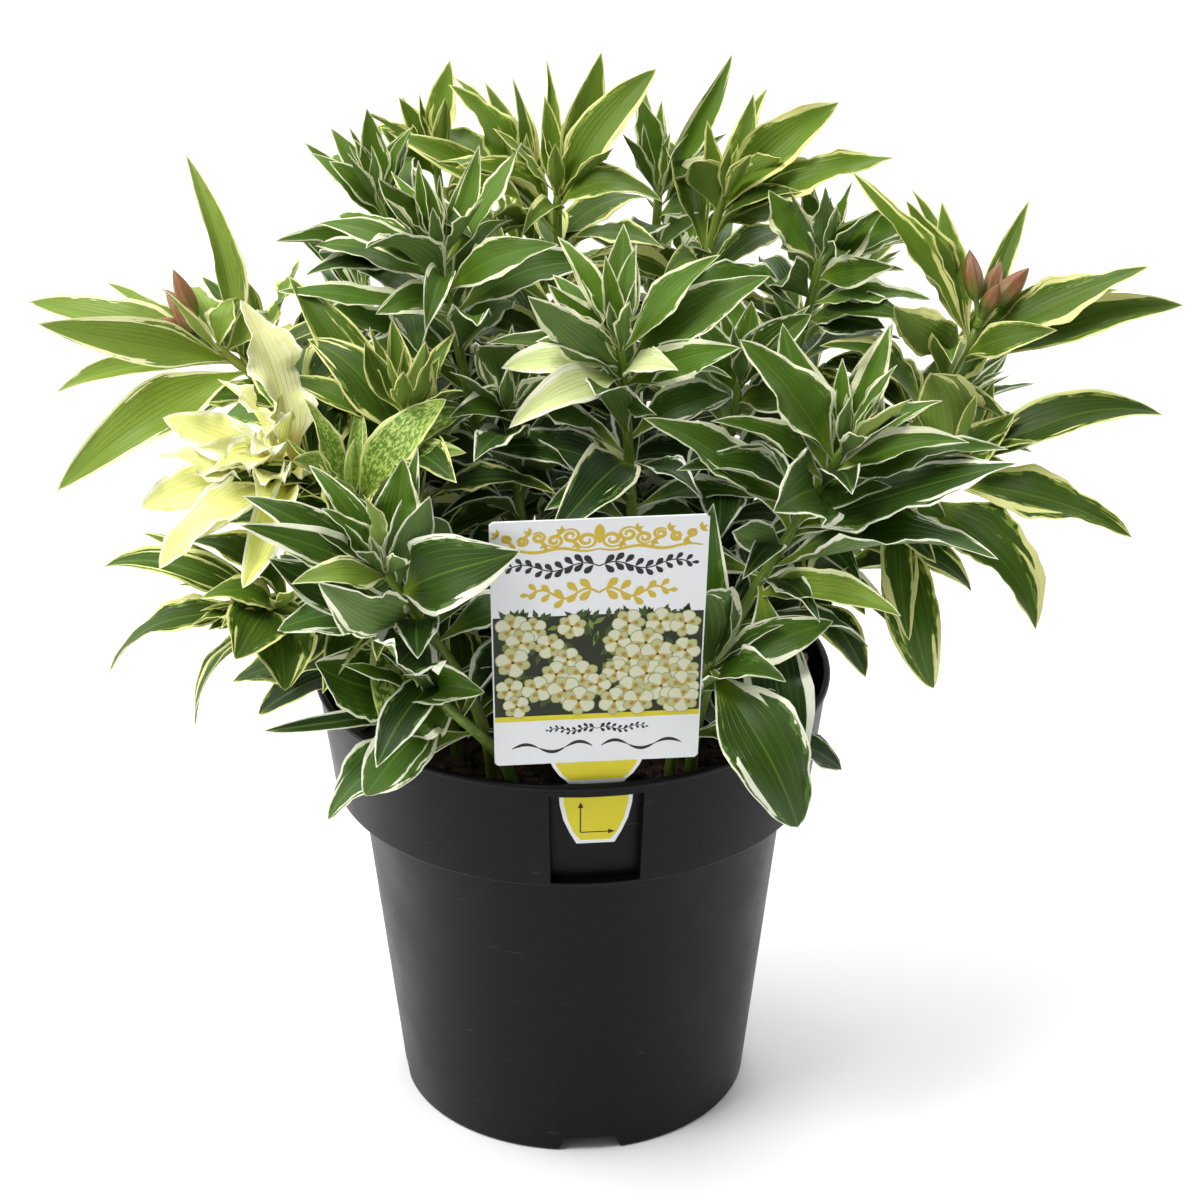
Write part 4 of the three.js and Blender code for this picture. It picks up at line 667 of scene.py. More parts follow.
def add_blade(plant, plan, steps_along=STEPS_ALONG, steps_across=STEPS_ACROSS):
    """A closed thin blade: a cupped, waved upper face and an under face that meets it at the edge."""
    t = np.linspace(0, 1, steps_along + 1) ** 0.92
    u = np.linspace(-1, 1, steps_across + 1)
    place, sideways, normal = blade_frame(plan, t)
    length = (plan["tip"] - plan["root"]).length
    place = place - normal * (plan["curl"] * length * np.clip((t - 0.5) / 0.5, 0, 1) ** 2)[:, None]
    low = min(max((BLUNT_BELOW_Z - plan["tip"].z) / 60, 0), 1)
    blunt = BLUNT_END * (1 if plan["kind"] in ("cream", "mottled") else low)
    half = np.maximum(plan["width"] / 2 * fine_outline(t, blunt), 0)
    half = np.where(t < 0.25, np.maximum(half, BLADE_ROOT_HALF_WIDTH * 0.8), half)
    half[-1] = 0.05
    cup = np.radians(plan["cup"]) * np.clip(t * 5, 0, 1) * (1 + 0.5 * np.sin(2.5 * t + 9 * plan["rand"]))
    phase = plan["rand"] * 40
    waves = 1.3 + 1.7 * plan["rand"]
    ripple = np.sin(2 * np.pi * waves * t[:, None] + phase + (1.3 + plan["rand"]) * np.sign(u)[None, :])
    ripple += 0.35 * np.sin(2 * np.pi * 3.1 * waves * t[:, None] + 2 * phase + 2 * np.sign(u)[None, :])
    wave = plan["wave"] * half[:, None] * ripple
    wave *= np.clip(t * 2.5, 0, 1)[:, None] * np.abs(u)[None, :] ** 2.5
    keel = -0.45 * np.exp(-((u / 0.16) ** 2))[None, :] * np.clip(half / 4, 0, 1)[:, None]
    furrow = 0.1 * np.cos(9.4 * u)[None, :] * np.clip(half / 6, 0, 1)[:, None]
    wide = half[:, None] * np.cos(cup)[:, None] * u[None, :]
    bowl = (0.25 * np.abs(u) + 0.75 * u**2)[None, :]
    high = half[:, None] * np.sin(cup)[:, None] * bowl + wave + keel + furrow
    thick = BLADE_EDGE_THICKNESS + (BLADE_MIDDLE_THICKNESS - BLADE_EDGE_THICKNESS) * (1 - np.abs(u)) ** 1.5
    thick = thick[None, :] * np.clip(half / 1.5, 0.2, 1)[:, None]
    centre = place[:, None, :] + sideways[:, None, :] * wide[..., None]
    slot = KINDS.index(plan["kind"])
    fresh = freshness(plan)
    v = np.broadcast_to(t[:, None], wide.shape)
    across = np.broadcast_to(u[None, :], wide.shape)
    halves = np.broadcast_to(half[:, None], wide.shape)
    for side in (0, 1):
        shift = (0.5 - side) * thick
        points = centre + normal[:, None, :] * (high + shift)[..., None]
        nature = np.stack([np.full_like(v, value) for value in (fresh, plan["rand"], side)], -1)
        data = np.stack([across, v, halves], -1)
        if side:
            points, data, nature = points[:, ::-1], data[:, ::-1], nature[:, ::-1]
        plant.grid(points[:, ::-1], data[:, ::-1], nature[:, ::-1], slot)
    for column, edge in ((0, -1), (-1, 1)):
        levels = [(high + shift * thick)[:, column, None] for shift in (-0.5 * edge, 0.5 * edge)]
        strip = np.stack([centre[:, column] + normal * level for level in levels], axis=1)
        data = np.stack([np.full((len(t), 2), edge), np.stack([t, t], 1), np.stack([half, half], 1)], -1)
        nature = np.broadcast_to((fresh, plan["rand"], 0.0), (len(t), 2, 3))
        plant.grid(strip, data, nature, slot)


def add_tube(plant, places, radii, slot, sides=12, rand=0.5):
    """A round tube along points, closed at both ends."""
    places = np.asarray(places, float)
    ahead = np.gradient(places, axis=0)
    ahead /= np.linalg.norm(ahead, axis=1)[:, None]
    side = np.cross(ahead, (0.2, 1, 0.1))
    side /= np.linalg.norm(side, axis=1)[:, None]
    other = np.cross(ahead, side)
    turn = np.linspace(0, 2 * np.pi, sides, endpoint=False)
    ring = side[:, None, :] * np.cos(turn)[None, :, None] + other[:, None, :] * np.sin(turn)[None, :, None]
    radii = np.asarray(radii, float)
    radii = radii[:, None] if radii.ndim == 1 else radii
    points = places[:, None, :] + ring * radii[..., None]
    points = np.concatenate([np.repeat(places[:1, None, :], sides, 1), points,
                             np.repeat(places[-1:, None, :], sides, 1)])
    rows = len(points)
    v = np.repeat(np.linspace(0, 1, rows)[:, None], sides, 1)
    u = np.repeat(np.linspace(-1, 1, sides)[None, :], rows, 0)
    data = np.stack([u, v, np.full_like(v, 3.0)], -1)
    nature = np.stack([v, np.full_like(v, rand), np.zeros_like(v)], -1)
    plant.grid(points, data, nature, slot, closed_rows=True)


def crowds_the_front(plan):
    """True for a small leaf that would cross the tag, the pot's rim or the mix."""
    places, _, _ = blade_frame(plan, np.linspace(0.1, 1, 6))
    x, y, z = places.T
    radius = np.hypot(x, y)
    before_tag = (np.abs(x - TAG_MIDDLE_X) < TAG_REACH) & (y < TAG_FRONT_Y) & (z > TAG_LOW_Z)
    at_rim = (z < POT_HEIGHT + 8) & (radius > RIM_INSIDE)
    in_mix = z < MIX_TOP_Z + 8
    low = np.array(CAD_BOUNDS[0]) / MM + 1
    high = np.array(CAD_BOUNDS[1]) / MM - 1
    outside = ((places < low) | (places > high)).any()
    return bool(before_tag.any() or at_rim.any() or in_mix.any() or outside)


def small_leaves(spec, index, bend, reach):
    """The young leaves round a crown, and leaves in a spiral down its stem."""
    plans = []
    budding = any(c["shoot"] == spec["name"] for c in BUD_CLUSTERS)
    ruffled = spec["kind"] == "cream"
    lean = Vector(spec["lean"]).normalized()
    for i in range(0 if budding else RUFFLED_YOUNG_LEAVES if ruffled else YOUNG_LEAVES):
        n = YOUNG_LEAF_DRAWS + i
        azimuth = math.radians(i * GOLDEN_TURN + 50 * index)
        length = 15 + 1.1 * i + 8 * draw(index, n, 5) if ruffled else 17 + 3.2 * i + 6 * draw(index, n, 5)
        direction = (lean * (1.5 - 0.13 * i) + along(azimuth, 0.1) * (0.25 + 0.13 * i)).normalized()
        root = stem_at(bend, 0.5 * i)
        tip = root + direction * length
        width = length * 0.45 if ruffled else 4.5 + 0.9 * i
        plans.append(rooted(index, n, bend, 0.5 * i, tip, width, -1.5, 0, 0.1, spec["kind"], 0))
    count = int(max(0, reach - BARE_STEM - LOWER_LEAVES_START) / LOWER_LEAF_SPACING)
    kind = "gold" if spec["kind"] in ("cream", "mottled") else spec["kind"]
    for i in range(count):
        n = LOWER_LEAF_DRAWS + i
        down = LOWER_LEAVES_START + LOWER_LEAF_SPACING * i
        azimuth = math.radians(i * GOLDEN_TURN + 77 * index)
        pitch = math.radians(30 - 66 * i / max(count, 1) + 30 * (draw(index, n, 5) - 0.5))
        length = 38 + 20 * draw(index, n, 6)
        tip = stem_at(bend, down) + along(azimuth, pitch) * length
        width = length * (0.26 + 0.12 * draw(index, n, 7))
        plans.append(rooted(index, n, bend, down, tip, width, length * 0.12, 0, 0.25, kind, 0.9))
    return [plan for plan in plans if not crowds_the_front(plan)]


def make_shoot(spec, index, materials):
    """One leafy stem that stands for its CAD node."""
    foot, bend, reach = stem_curve(spec)
    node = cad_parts[spec["name"]]
    tree = KDTree(len(node.data.vertices))
    for i, vertex in enumerate(node.data.vertices):
        tree.insert(vertex.co, i)
    tree.balance()
    plant = PlantMesh()
    for plan in leaf_plans(spec, index, bend):
        found = chosen_plan(plan, tree)
        if found:
            add_blade(plant, found)
    for plan in small_leaves(spec, index, bend, reach):
        add_blade(plant, plan, 14, 6)
    places, _ = bezier(bend, np.linspace(0, 1, 40))
    places = np.concatenate([np.array([tuple(foot)]), places])
    radii = np.linspace(STEM_FOOT_RADIUS, STEM_TOP_RADIUS, len(places)) * 0.92
    radii[-1] = 1.1
    add_tube(plant, places, radii, KINDS.index("stem"), rand=draw(index, 0, 9))
    piece = plant.build(spec["name"] + "_leaves", materials)
    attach(piece, "root")
    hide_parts(spec["name"])


def make_buds(cluster, materials):
    """A cluster of ribbed pointed buds on short stalks."""
    spec = next(s for s in SHOOTS if s["name"] == cluster["shoot"])
    crown = Vector(spec["crown"])
    lean = Vector(spec["lean"]).normalized()
    seat = crown + lean * GAP
    plant = PlantMesh()
    stub = [tuple(seat + lean * BUD_START * i / 4) for i in range(5)]
    add_tube(plant, stub, [STEM_TOP_RADIUS * 0.9] * 5, KINDS.index("stem"))
    root = seat + lean * BUD_START * 0.6
    turn = np.linspace(0, 2 * np.pi, 24, endpoint=False)
    for i, (right, up, near, width) in enumerate(cluster["buds"]):
        tip = crown + VIEW_RIGHT * right + VIEW_UP * up + VIEW_NEAR * near
        t = np.linspace(0, 1, 26)
        swell = np.clip((t - 0.3) / 0.7, 0, 1)
        radius = BUD_STALK_RADIUS * 0.8 * (1 - swell) + width * 0.37 * np.sin(np.pi * swell**0.85) ** 0.8
        radius = np.maximum(radius, 0.12)
        ribs = 1 + 0.1 * np.cos(6 * turn)[None, :] * np.clip(swell * 3, 0, 1)[:, None]
        places = [tuple(root.lerp(tip, float(s))) for s in t]
        add_tube(plant, places, radius[:, None] * ribs, KINDS.index("bud"), sides=24, rand=0.2 + 0.2 * i)
    piece = plant.build(cluster["name"] + "_fine", materials)
    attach(piece, "root")
    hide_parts(cluster["name"])


# Materials


class Nodes:
    """A short way to wire a material's nodes."""

    def __init__(self, name):
        self.material = bpy.data.materials.new(name)
        self.material.use_nodes = True
        self.tree = self.material.node_tree
        self.shader = self.tree.nodes["Principled BSDF"]

    def add(self, kind, **values):
        node = self.tree.nodes.new(kind)
        for key, value in values.items():
            setattr(node, key, value)
        return node

    def link(self, source, target):
        self.tree.links.new(source, target)

    def fill(self, sockets, values):
        """Gives each socket a number or a colour, or links it to another node."""
        for socket, value in zip(sockets, values):
            if isinstance(value, (int, float)):
                socket.default_value = value
            elif isinstance(value, tuple):
                socket.default_value = (*value, 1)
            else:
                self.link(value, socket)

    def math(self, operation, a, b=0.0):
        node = self.add("ShaderNodeMath", operation=operation)
        self.fill(node.inputs, (a, b, 0.0))
        return node.outputs[0]

    def times(self, a, b):
        return self.math("MULTIPLY", a, b)

    def plus(self, a, b):
        return self.math("ADD", a, b)

    def minus(self, a, b):
        return self.math("SUBTRACT", a, b)

    def between(self, value, low, high, start=0.0, end=1.0):
        """A smooth step from start to end while value goes from low to high."""
        node = self.add("ShaderNodeMapRange", interpolation_type="SMOOTHSTEP")
        self.fill(node.inputs, (value, low, high, start, end))
        return node.outputs[0]

    def mix(self, share, a, b):
        node = self.add("ShaderNodeMix", data_type="RGBA")
        self.fill((node.inputs[0], node.inputs[6], node.inputs[7]), (share, a, b))
        return node.outputs[2]

    def noise(self, vector, scale, detail=2.0, roughness=0.5):
        node = self.add("ShaderNodeTexNoise")
        node.inputs["Scale"].default_value = scale
        node.inputs["Detail"].default_value = detail
        node.inputs["Roughness"].default_value = roughness
        self.link(vector, node.inputs["Vector"])
        return node.outputs["Fac"]

    def vector(self, x, y, z):
        node = self.add("ShaderNodeCombineXYZ")
        self.fill(node.inputs, (x, y, z))
        return node.outputs[0]

    def split(self, attribute):
        node = self.add("ShaderNodeAttribute", attribute_name=attribute)
        parts = self.add("ShaderNodeSeparateXYZ")
        self.link(node.outputs["Vector"], parts.inputs[0])
        return parts.outputs

    def own_place(self):
        """Where a point is on the object itself."""
        return self.add("ShaderNodeTexCoord").outputs["Object"]

    def stretched(self, place, scales):
        node = self.add("ShaderNodeMapping")
        node.inputs["Scale"].default_value = scales
        self.link(place, node.inputs["Vector"])
        return node.outputs[0]

    def bump(self, height, distance, strength):
        node = self.add("ShaderNodeBump")
        node.inputs["Strength"].default_value = strength
        node.inputs["Distance"].default_value = distance
        self.link(height, node.inputs["Height"])
        self.link(node.outputs[0], self.shader.inputs["Normal"])

    def finish(self, colour, rough, height, distance, strength, specular=0.5):
        """Gives the shader its colour, roughness, gloss and bump, and returns the material."""
        self.link(colour, self.shader.inputs["Base Color"])
        self.fill([self.shader.inputs["Roughness"]], [rough])
        self.shader.inputs["Specular IOR Level"].default_value = specular
        self.bump(height, distance, strength)
        return self.material


def shade(red, green, blue):
    """A colour as seen on screen, 0 to 255, as the light values that a shader takes."""
    def light(value):
        value /= 255
        return value / 12.92 if value <= 0.04045 else ((value + 0.055) / 1.055) ** 2.4
    return (light(red), light(green), light(blue))


def leaf_material(name, look):
    """Green with parallel veins, a streaky pale margin, and a paler under face."""
    look = {key: shade(*value) if isinstance(value, tuple) else value for key, value in look.items()}
    n = Nodes(name)
    u, v, half = n.split("blade_place")
    fresh, rand, side = n.split("blade_nature")
    from_middle = n.math("ABSOLUTE", u)
    edge = n.times(n.minus(1.0, from_middle), half)
    middle = n.times(from_middle, half)
    seed = n.times(rand, 61.0)
    streaks = n.noise(n.vector(n.times(u, 6.0), n.times(v, 2.2), seed), 1.0, 3.0)
    patches = n.noise(n.vector(n.times(u, 2.2), n.times(v, 1.3), seed), 1.0, 1.0)
    fine = n.noise(n.vector(n.times(u, 22.0), n.times(v, 5.0), seed), 1.0, 2.0)
    steps = n.noise(n.vector(n.times(u, 9.0), n.times(v, 13.0), seed), 1.0, 2.0)
    # How wide the pale margin is, in millimetres: narrower on small leaves, ragged, wide in a few places
    share = n.between(half, 1.0, 11.0, 0.35, 1.25)
    margin = n.times(share, n.between(streaks, 0.34, 0.7, look["margin"] * 0.45, look["margin"] * 1.9))
    margin = n.plus(margin, n.times(n.between(steps, 0.5, 0.62, 0.0, 0.35), share))
    wide = n.between(n.plus(patches, n.times(rand, 0.1)), 0.62, 0.68, 0.0, look["flash"])
    margin = n.plus(margin, n.times(wide, half))
    rough_edge = n.plus(edge, n.times(n.minus(fine, 0.5), 0.5))
    inside = n.minus(rough_edge, margin)
    pale = n.between(inside, -0.1, 0.1, 1.0, 0.0)
    # Greyish streaks between the margin and the green
    reach = n.times(n.between(steps, 0.42, 0.6, 0.1, look["halfway"]), share)
    halfway = n.between(n.minus(inside, reach), -0.05, 0.15, 1.0, 0.0)
    veins = n.between(n.math("COSINE", n.times(u, 34.0)), 0.35, 1.0)
    rib = n.between(middle, 0.12, 0.7, 1.0, 0.0)
    tone = n.between(n.plus(n.times(streaks, 0.7), n.times(rand, 0.5)), 0.35, 0.95)
    green = n.mix(tone, look["deep"], look["mid"])
    green = n.mix(n.times(fresh, 0.9), green, look["young"])
    green = n.mix(n.times(veins, 0.1), green, look["vein"])
    green = n.mix(n.times(rib, 0.4), green, look["vein"])
    green = n.mix(n.times(halfway, 0.6), green, look["between"])
    green = n.mix(n.between(v, 0.03, 0.3, 0.85, 0.0), green, look["base"])
    under = n.mix(n.times(veins, 0.35), look["under"], look["under_vein"])
    green = n.mix(n.times(side, 0.8), green, under)
    if "mottle" in look:
        specks = n.noise(n.vector(n.times(u, 8.0), n.times(v, 26.0), seed), 1.0, 3.0, 0.7)
        green = n.mix(n.between(specks, 0.47, 0.56, 0.0, 0.85), green, look["mottle"])
    colour = n.mix(pale, green, n.mix(fresh, look["pale"], look["pale_fresh"]))
    if "blush" in look:
        colour = n.mix(n.between(v, 0.0, 0.34, 0.8, 0.0), colour, look["blush"])
    rough = n.between(fine, 0.3, 0.7, look["rough"] - 0.05, look["rough"] + 0.08)
    return n.finish(colour, rough, n.plus(veins, n.times(fine, 0.6)), 0.00025, 0.6, specular=0.24)


# Colours as seen on screen, and margins in millimetres
GREEN = dict(
    deep=(26, 50, 8), mid=(48, 84, 14), young=(106, 144, 32), vein=(104, 140, 46),
    between=(104, 134, 62), base=(142, 168, 44), under=(92, 120, 58),
    under_vein=(142, 162, 100), pale=(242, 244, 224), pale_fresh=(240, 240, 176),
    margin=0.8, halfway=1.3, flash=0.0, rough=0.42,
)
LOOKS = dict(
    white=dict(GREEN, flash=0.25),
    pale=dict(GREEN, deep=(196, 210, 132), mid=(222, 228, 168), young=(226, 232, 170),
              vein=(176, 198, 104), between=(230, 234, 184), base=(150, 178, 70),
              under=(212, 218, 160), under_vein=(228, 232, 184), margin=1.4, flash=0.5),
    gold=dict(GREEN, mid=(66, 100, 18), young=(118, 148, 40), pale=(236, 236, 160),
              pale_fresh=(238, 236, 150), margin=0.9, between=(150, 172, 70),
              under=(124, 150, 62), under_vein=(162, 180, 96), flash=0.3),
    # A bright yellow green; on the sunlit shoot it is painted light, put on every leaf there.
    fresh=dict(GREEN, deep=(96, 124, 32), mid=(134, 160, 54), young=(158, 180, 80),
               pale=(240, 240, 184), pale_fresh=(242, 240, 182), margin=1.15,
               under=(150, 172, 84), under_vein=(180, 196, 112)),
    half=dict(GREEN, flash=0.9, pale=(238, 238, 196)),
    mottled=dict(GREEN, deep=(74, 112, 28), mid=(104, 146, 44), young=(132, 168, 62),
                 pale=(214, 224, 140), between=(182, 204, 104), under=(140, 172, 80),
                 mottle=(194, 212, 112), flash=0.35),
    cream=dict(GREEN, deep=(236, 240, 120), mid=(252, 250, 184), young=(254, 252, 204),
               vein=(230, 238, 130), between=(252, 252, 180), base=(240, 216, 96),
               under=(248, 248, 140), under_vein=(252, 252, 180), pale=(255, 255, 226),
               pale_fresh=(255, 254, 220), margin=1.6, blush=(250, 206, 120), rough=0.5),
)
KINDS = list(LOOKS) + ["stem", "bud"]


def stem_material():
    """Smooth green, a little red on some stems, darker at the foot."""
    n = Nodes("stem")
    u, v, _ = n.split("blade_place")
    _, rand, _ = n.split("blade_nature")
    marks = n.noise(n.vector(n.times(u, 3.0), n.times(v, 9.0), rand), 2.0, 3.0)
    colour = n.mix(n.between(marks, 0.35, 0.7), shade(96, 124, 36), shade(134, 160, 62))
    colour = n.mix(n.between(v, 0.0, 0.35, 0.6, 0.0), colour, shade(66, 66, 30))
    colour = n.mix(n.between(rand, 0.7, 0.95, 0.0, 0.35), colour, shade(142, 100, 60))
    return n.finish(colour, 0.42, marks, 0.0002, 0.5)


def bud_material():
    """Reddish green buds with darker ribs and a paler foot."""
    n = Nodes("bud")
    u, v, _ = n.split("blade_place")
    _, rand, _ = n.split("blade_nature")
    marks = n.noise(n.vector(n.times(u, 8.0), n.times(v, 3.0), rand), 2.0, 3.0)
    colour = n.mix(n.between(v, 0.3, 0.75), shade(104, 124, 44), shade(142, 96, 58))
    colour = n.mix(n.between(marks, 0.45, 0.75, 0.0, 0.6), colour, shade(116, 58, 42))
    colour = n.mix(n.between(v, 0.86, 1.0, 0.0, 0.75), colour, shade(96, 104, 40))
    return n.finish(colour, 0.4, marks, 0.0003, 0.6)


def pot_material():
    """Black moulded plastic: a soft sheen, faint mottling, dust and fine scuffs."""
    n = Nodes("pot_plastic")
    place = n.own_place()
    cloud = n.noise(place, 28.0, 4.0, 0.6)
    grain = n.noise(place, 900.0, 2.0)
    scratches = n.noise(n.stretched(place, (60, 60, 420)), 1.0, 3.0, 0.7)
    dust = n.between(cloud, 0.45, 0.75, 0.0, 0.5)
    scuff = n.between(scratches, 0.66, 0.74, 0.0, 0.35)
    colour = n.mix(dust, shade(8, 8, 9), shade(16, 16, 17))
    colour = n.mix(scuff, colour, shade(66, 66, 68))
    rough = n.between(cloud, 0.3, 0.7, 0.36, 0.46)
    return n.finish(colour, rough, n.plus(n.times(grain, 0.5), scratches), 0.00012, 0.5, specular=0.14)


def mix_material():
    """Dark damp bark and peat."""
    n = Nodes("potting_mix")
    place = n.own_place()
    lumps = n.noise(place, 220.0, 5.0, 0.7)
    colour = n.mix(n.between(lumps, 0.35, 0.7), shade(22, 16, 12), shade(52, 38, 28))
    return n.finish(colour, 0.9, lumps, 0.0015, 0.9)


def chip_material():
    """Bark chips, each its own brown."""
    n = Nodes("bark_chips")
    _, rand, _ = n.split("blade_nature")
    place = n.own_place()
    grain = n.noise(place, 600.0, 3.0)
    colour = n.mix(rand, shade(34, 23, 17), shade(86, 62, 44))
    colour = n.mix(n.between(grain, 0.4, 0.7, 0.0, 0.5), colour, shade(36, 26, 20))
    return n.finish(colour, 0.85, grain, 0.0004, 0.7)


def dry_material():
    """Brown split fibres of a dead stem."""
    n = Nodes("dry_stem")
    fibres = n.noise(n.stretched(n.own_place(), (900, 900, 60)), 1.0, 3.0, 0.6)
    colour = n.mix(n.between(fibres, 0.35, 0.65), shade(74, 52, 34), shade(150, 118, 84))
    return n.finish(colour, 0.85, fibres, 0.0006, 0.9)


def print_material(name, colour):
    """Ink on the tag, with a faint print grain."""
    n = Nodes(name)
    place = n.own_place()
    grain = n.noise(place, 1500.0, 2.0)
    darker = tuple(0.93 * c for c in colour)
    return n.finish(n.mix(grain, darker, colour), 0.36, grain, 0.00003, 0.3, specular=0.25)


# Pot, mix, stump and tag


def prism_sides(n):
    """The side faces between two rings of n points each."""
    return [(k, (k + 1) % n, n + (k + 1) % n, n + k) for k in range(n)]


def prism(n):
    """The faces of a closed prism over two rings of n points each."""
    return [tuple(range(n - 1, -1, -1)), tuple(range(n, 2 * n))] + prism_sides(n)


def object_of(name, points, faces, material, smooth_angle=40):
    """A mesh object from points in millimetres."""
    mesh = bpy.data.meshes.new(name)
    mesh.from_pydata([tuple(c * MM for c in p) for p in points], [], faces)
    mesh.materials.append(material)
    mesh.polygons.foreach_set("use_smooth", np.ones(len(mesh.polygons), bool))
    mesh.set_sharp_from_angle(angle=math.radians(smooth_angle))
    mesh.update()
    obj = bpy.data.objects.new(name, mesh)
    bpy.context.scene.collection.objects.link(obj)
    return obj


def lathe(name, profile, sides, material):
    """A profile of radius and height turned round the z axis; it starts and ends on the axis."""
    points = [(0, 0, profile[0][1])]
    for r, z in profile[1:-1]:
        for k in range(sides):
            a = 2 * math.pi * k / sides
            points.append((r * math.cos(a), r * math.sin(a), z))
    points.append((0, 0, profile[-1][1]))
    rings = len(profile) - 2
    faces = [(0, 1 + (k + 1) % sides, 1 + k) for k in range(sides)]
    for i in range(rings - 1):
        a, b = 1 + i * sides, 1 + (i + 1) * sides
        faces += [(a + k, a + (k + 1) % sides, b + (k + 1) % sides, b + k) for k in range(sides)]
    last = 1 + (rings - 1) * sides
    faces += [(last + k, last + (k + 1) % sides, len(points) - 1) for k in range(sides)]
    return object_of(name, points, faces, material)


def corner(r, z, radius, start, end, steps=4):
    """A rounded corner of a profile, round its own centre."""
    turns = [math.radians(start + (end - start) * i / steps) for i in range(steps + 1)]
    return [(r + radius * math.cos(a), z + radius * math.sin(a)) for a in turns]


def collar_radius(z):
    """The collar's outer radius at a height."""
    share = (z - COLLAR_FOOT_Z) / (POT_HEIGHT - COLLAR_FOOT_Z)
    return COLLAR_FOOT_RADIUS + (RIM_RADIUS - LIP_PROUD - COLLAR_FOOT_RADIUS) * share


def ring_sector(name, in_foot, out_foot, in_top, out_top, z0, z1, half, material, steps=24):
    """Part of a ring about the z axis, centred on the tag slot."""
    turns = [math.radians(-half + 2 * half * i / steps - 90) + SLOT_TURN for i in range(steps + 1)]
    points = []
    for r_in, r_out, z in ((in_foot, out_foot, z0), (in_top, out_top, z1)):
        points += [(r_out * math.cos(a), r_out * math.sin(a), z) for a in turns]
        points += [(r_in * math.cos(a), r_in * math.sin(a), z) for a in reversed(turns)]
    n = 2 * (steps + 1)
    faces = prism_sides(n)
    for i in range(steps):
        a, b, c, d = i, i + 1, n - 2 - i, n - 1 - i
        faces += [(d, c, b, a), (n + a, n + b, n + c, n + d)]
    return object_of(name, points, faces, material)


def combine(obj, other, operation):
    """Joins other to obj, or cuts it out of obj."""
    modifier = obj.modifiers.new(operation, "BOOLEAN")
    modifier.operation = operation
    modifier.solver = "EXACT"
    modifier.object = other
    bpy.context.view_layer.update()
    made = bpy.data.meshes.new_from_object(obj.evaluated_get(bpy.context.evaluated_depsgraph_get()))
    obj.modifiers.clear()
    old = obj.data
    obj.data = made
    bpy.data.meshes.remove(old)
    bpy.data.objects.remove(other)


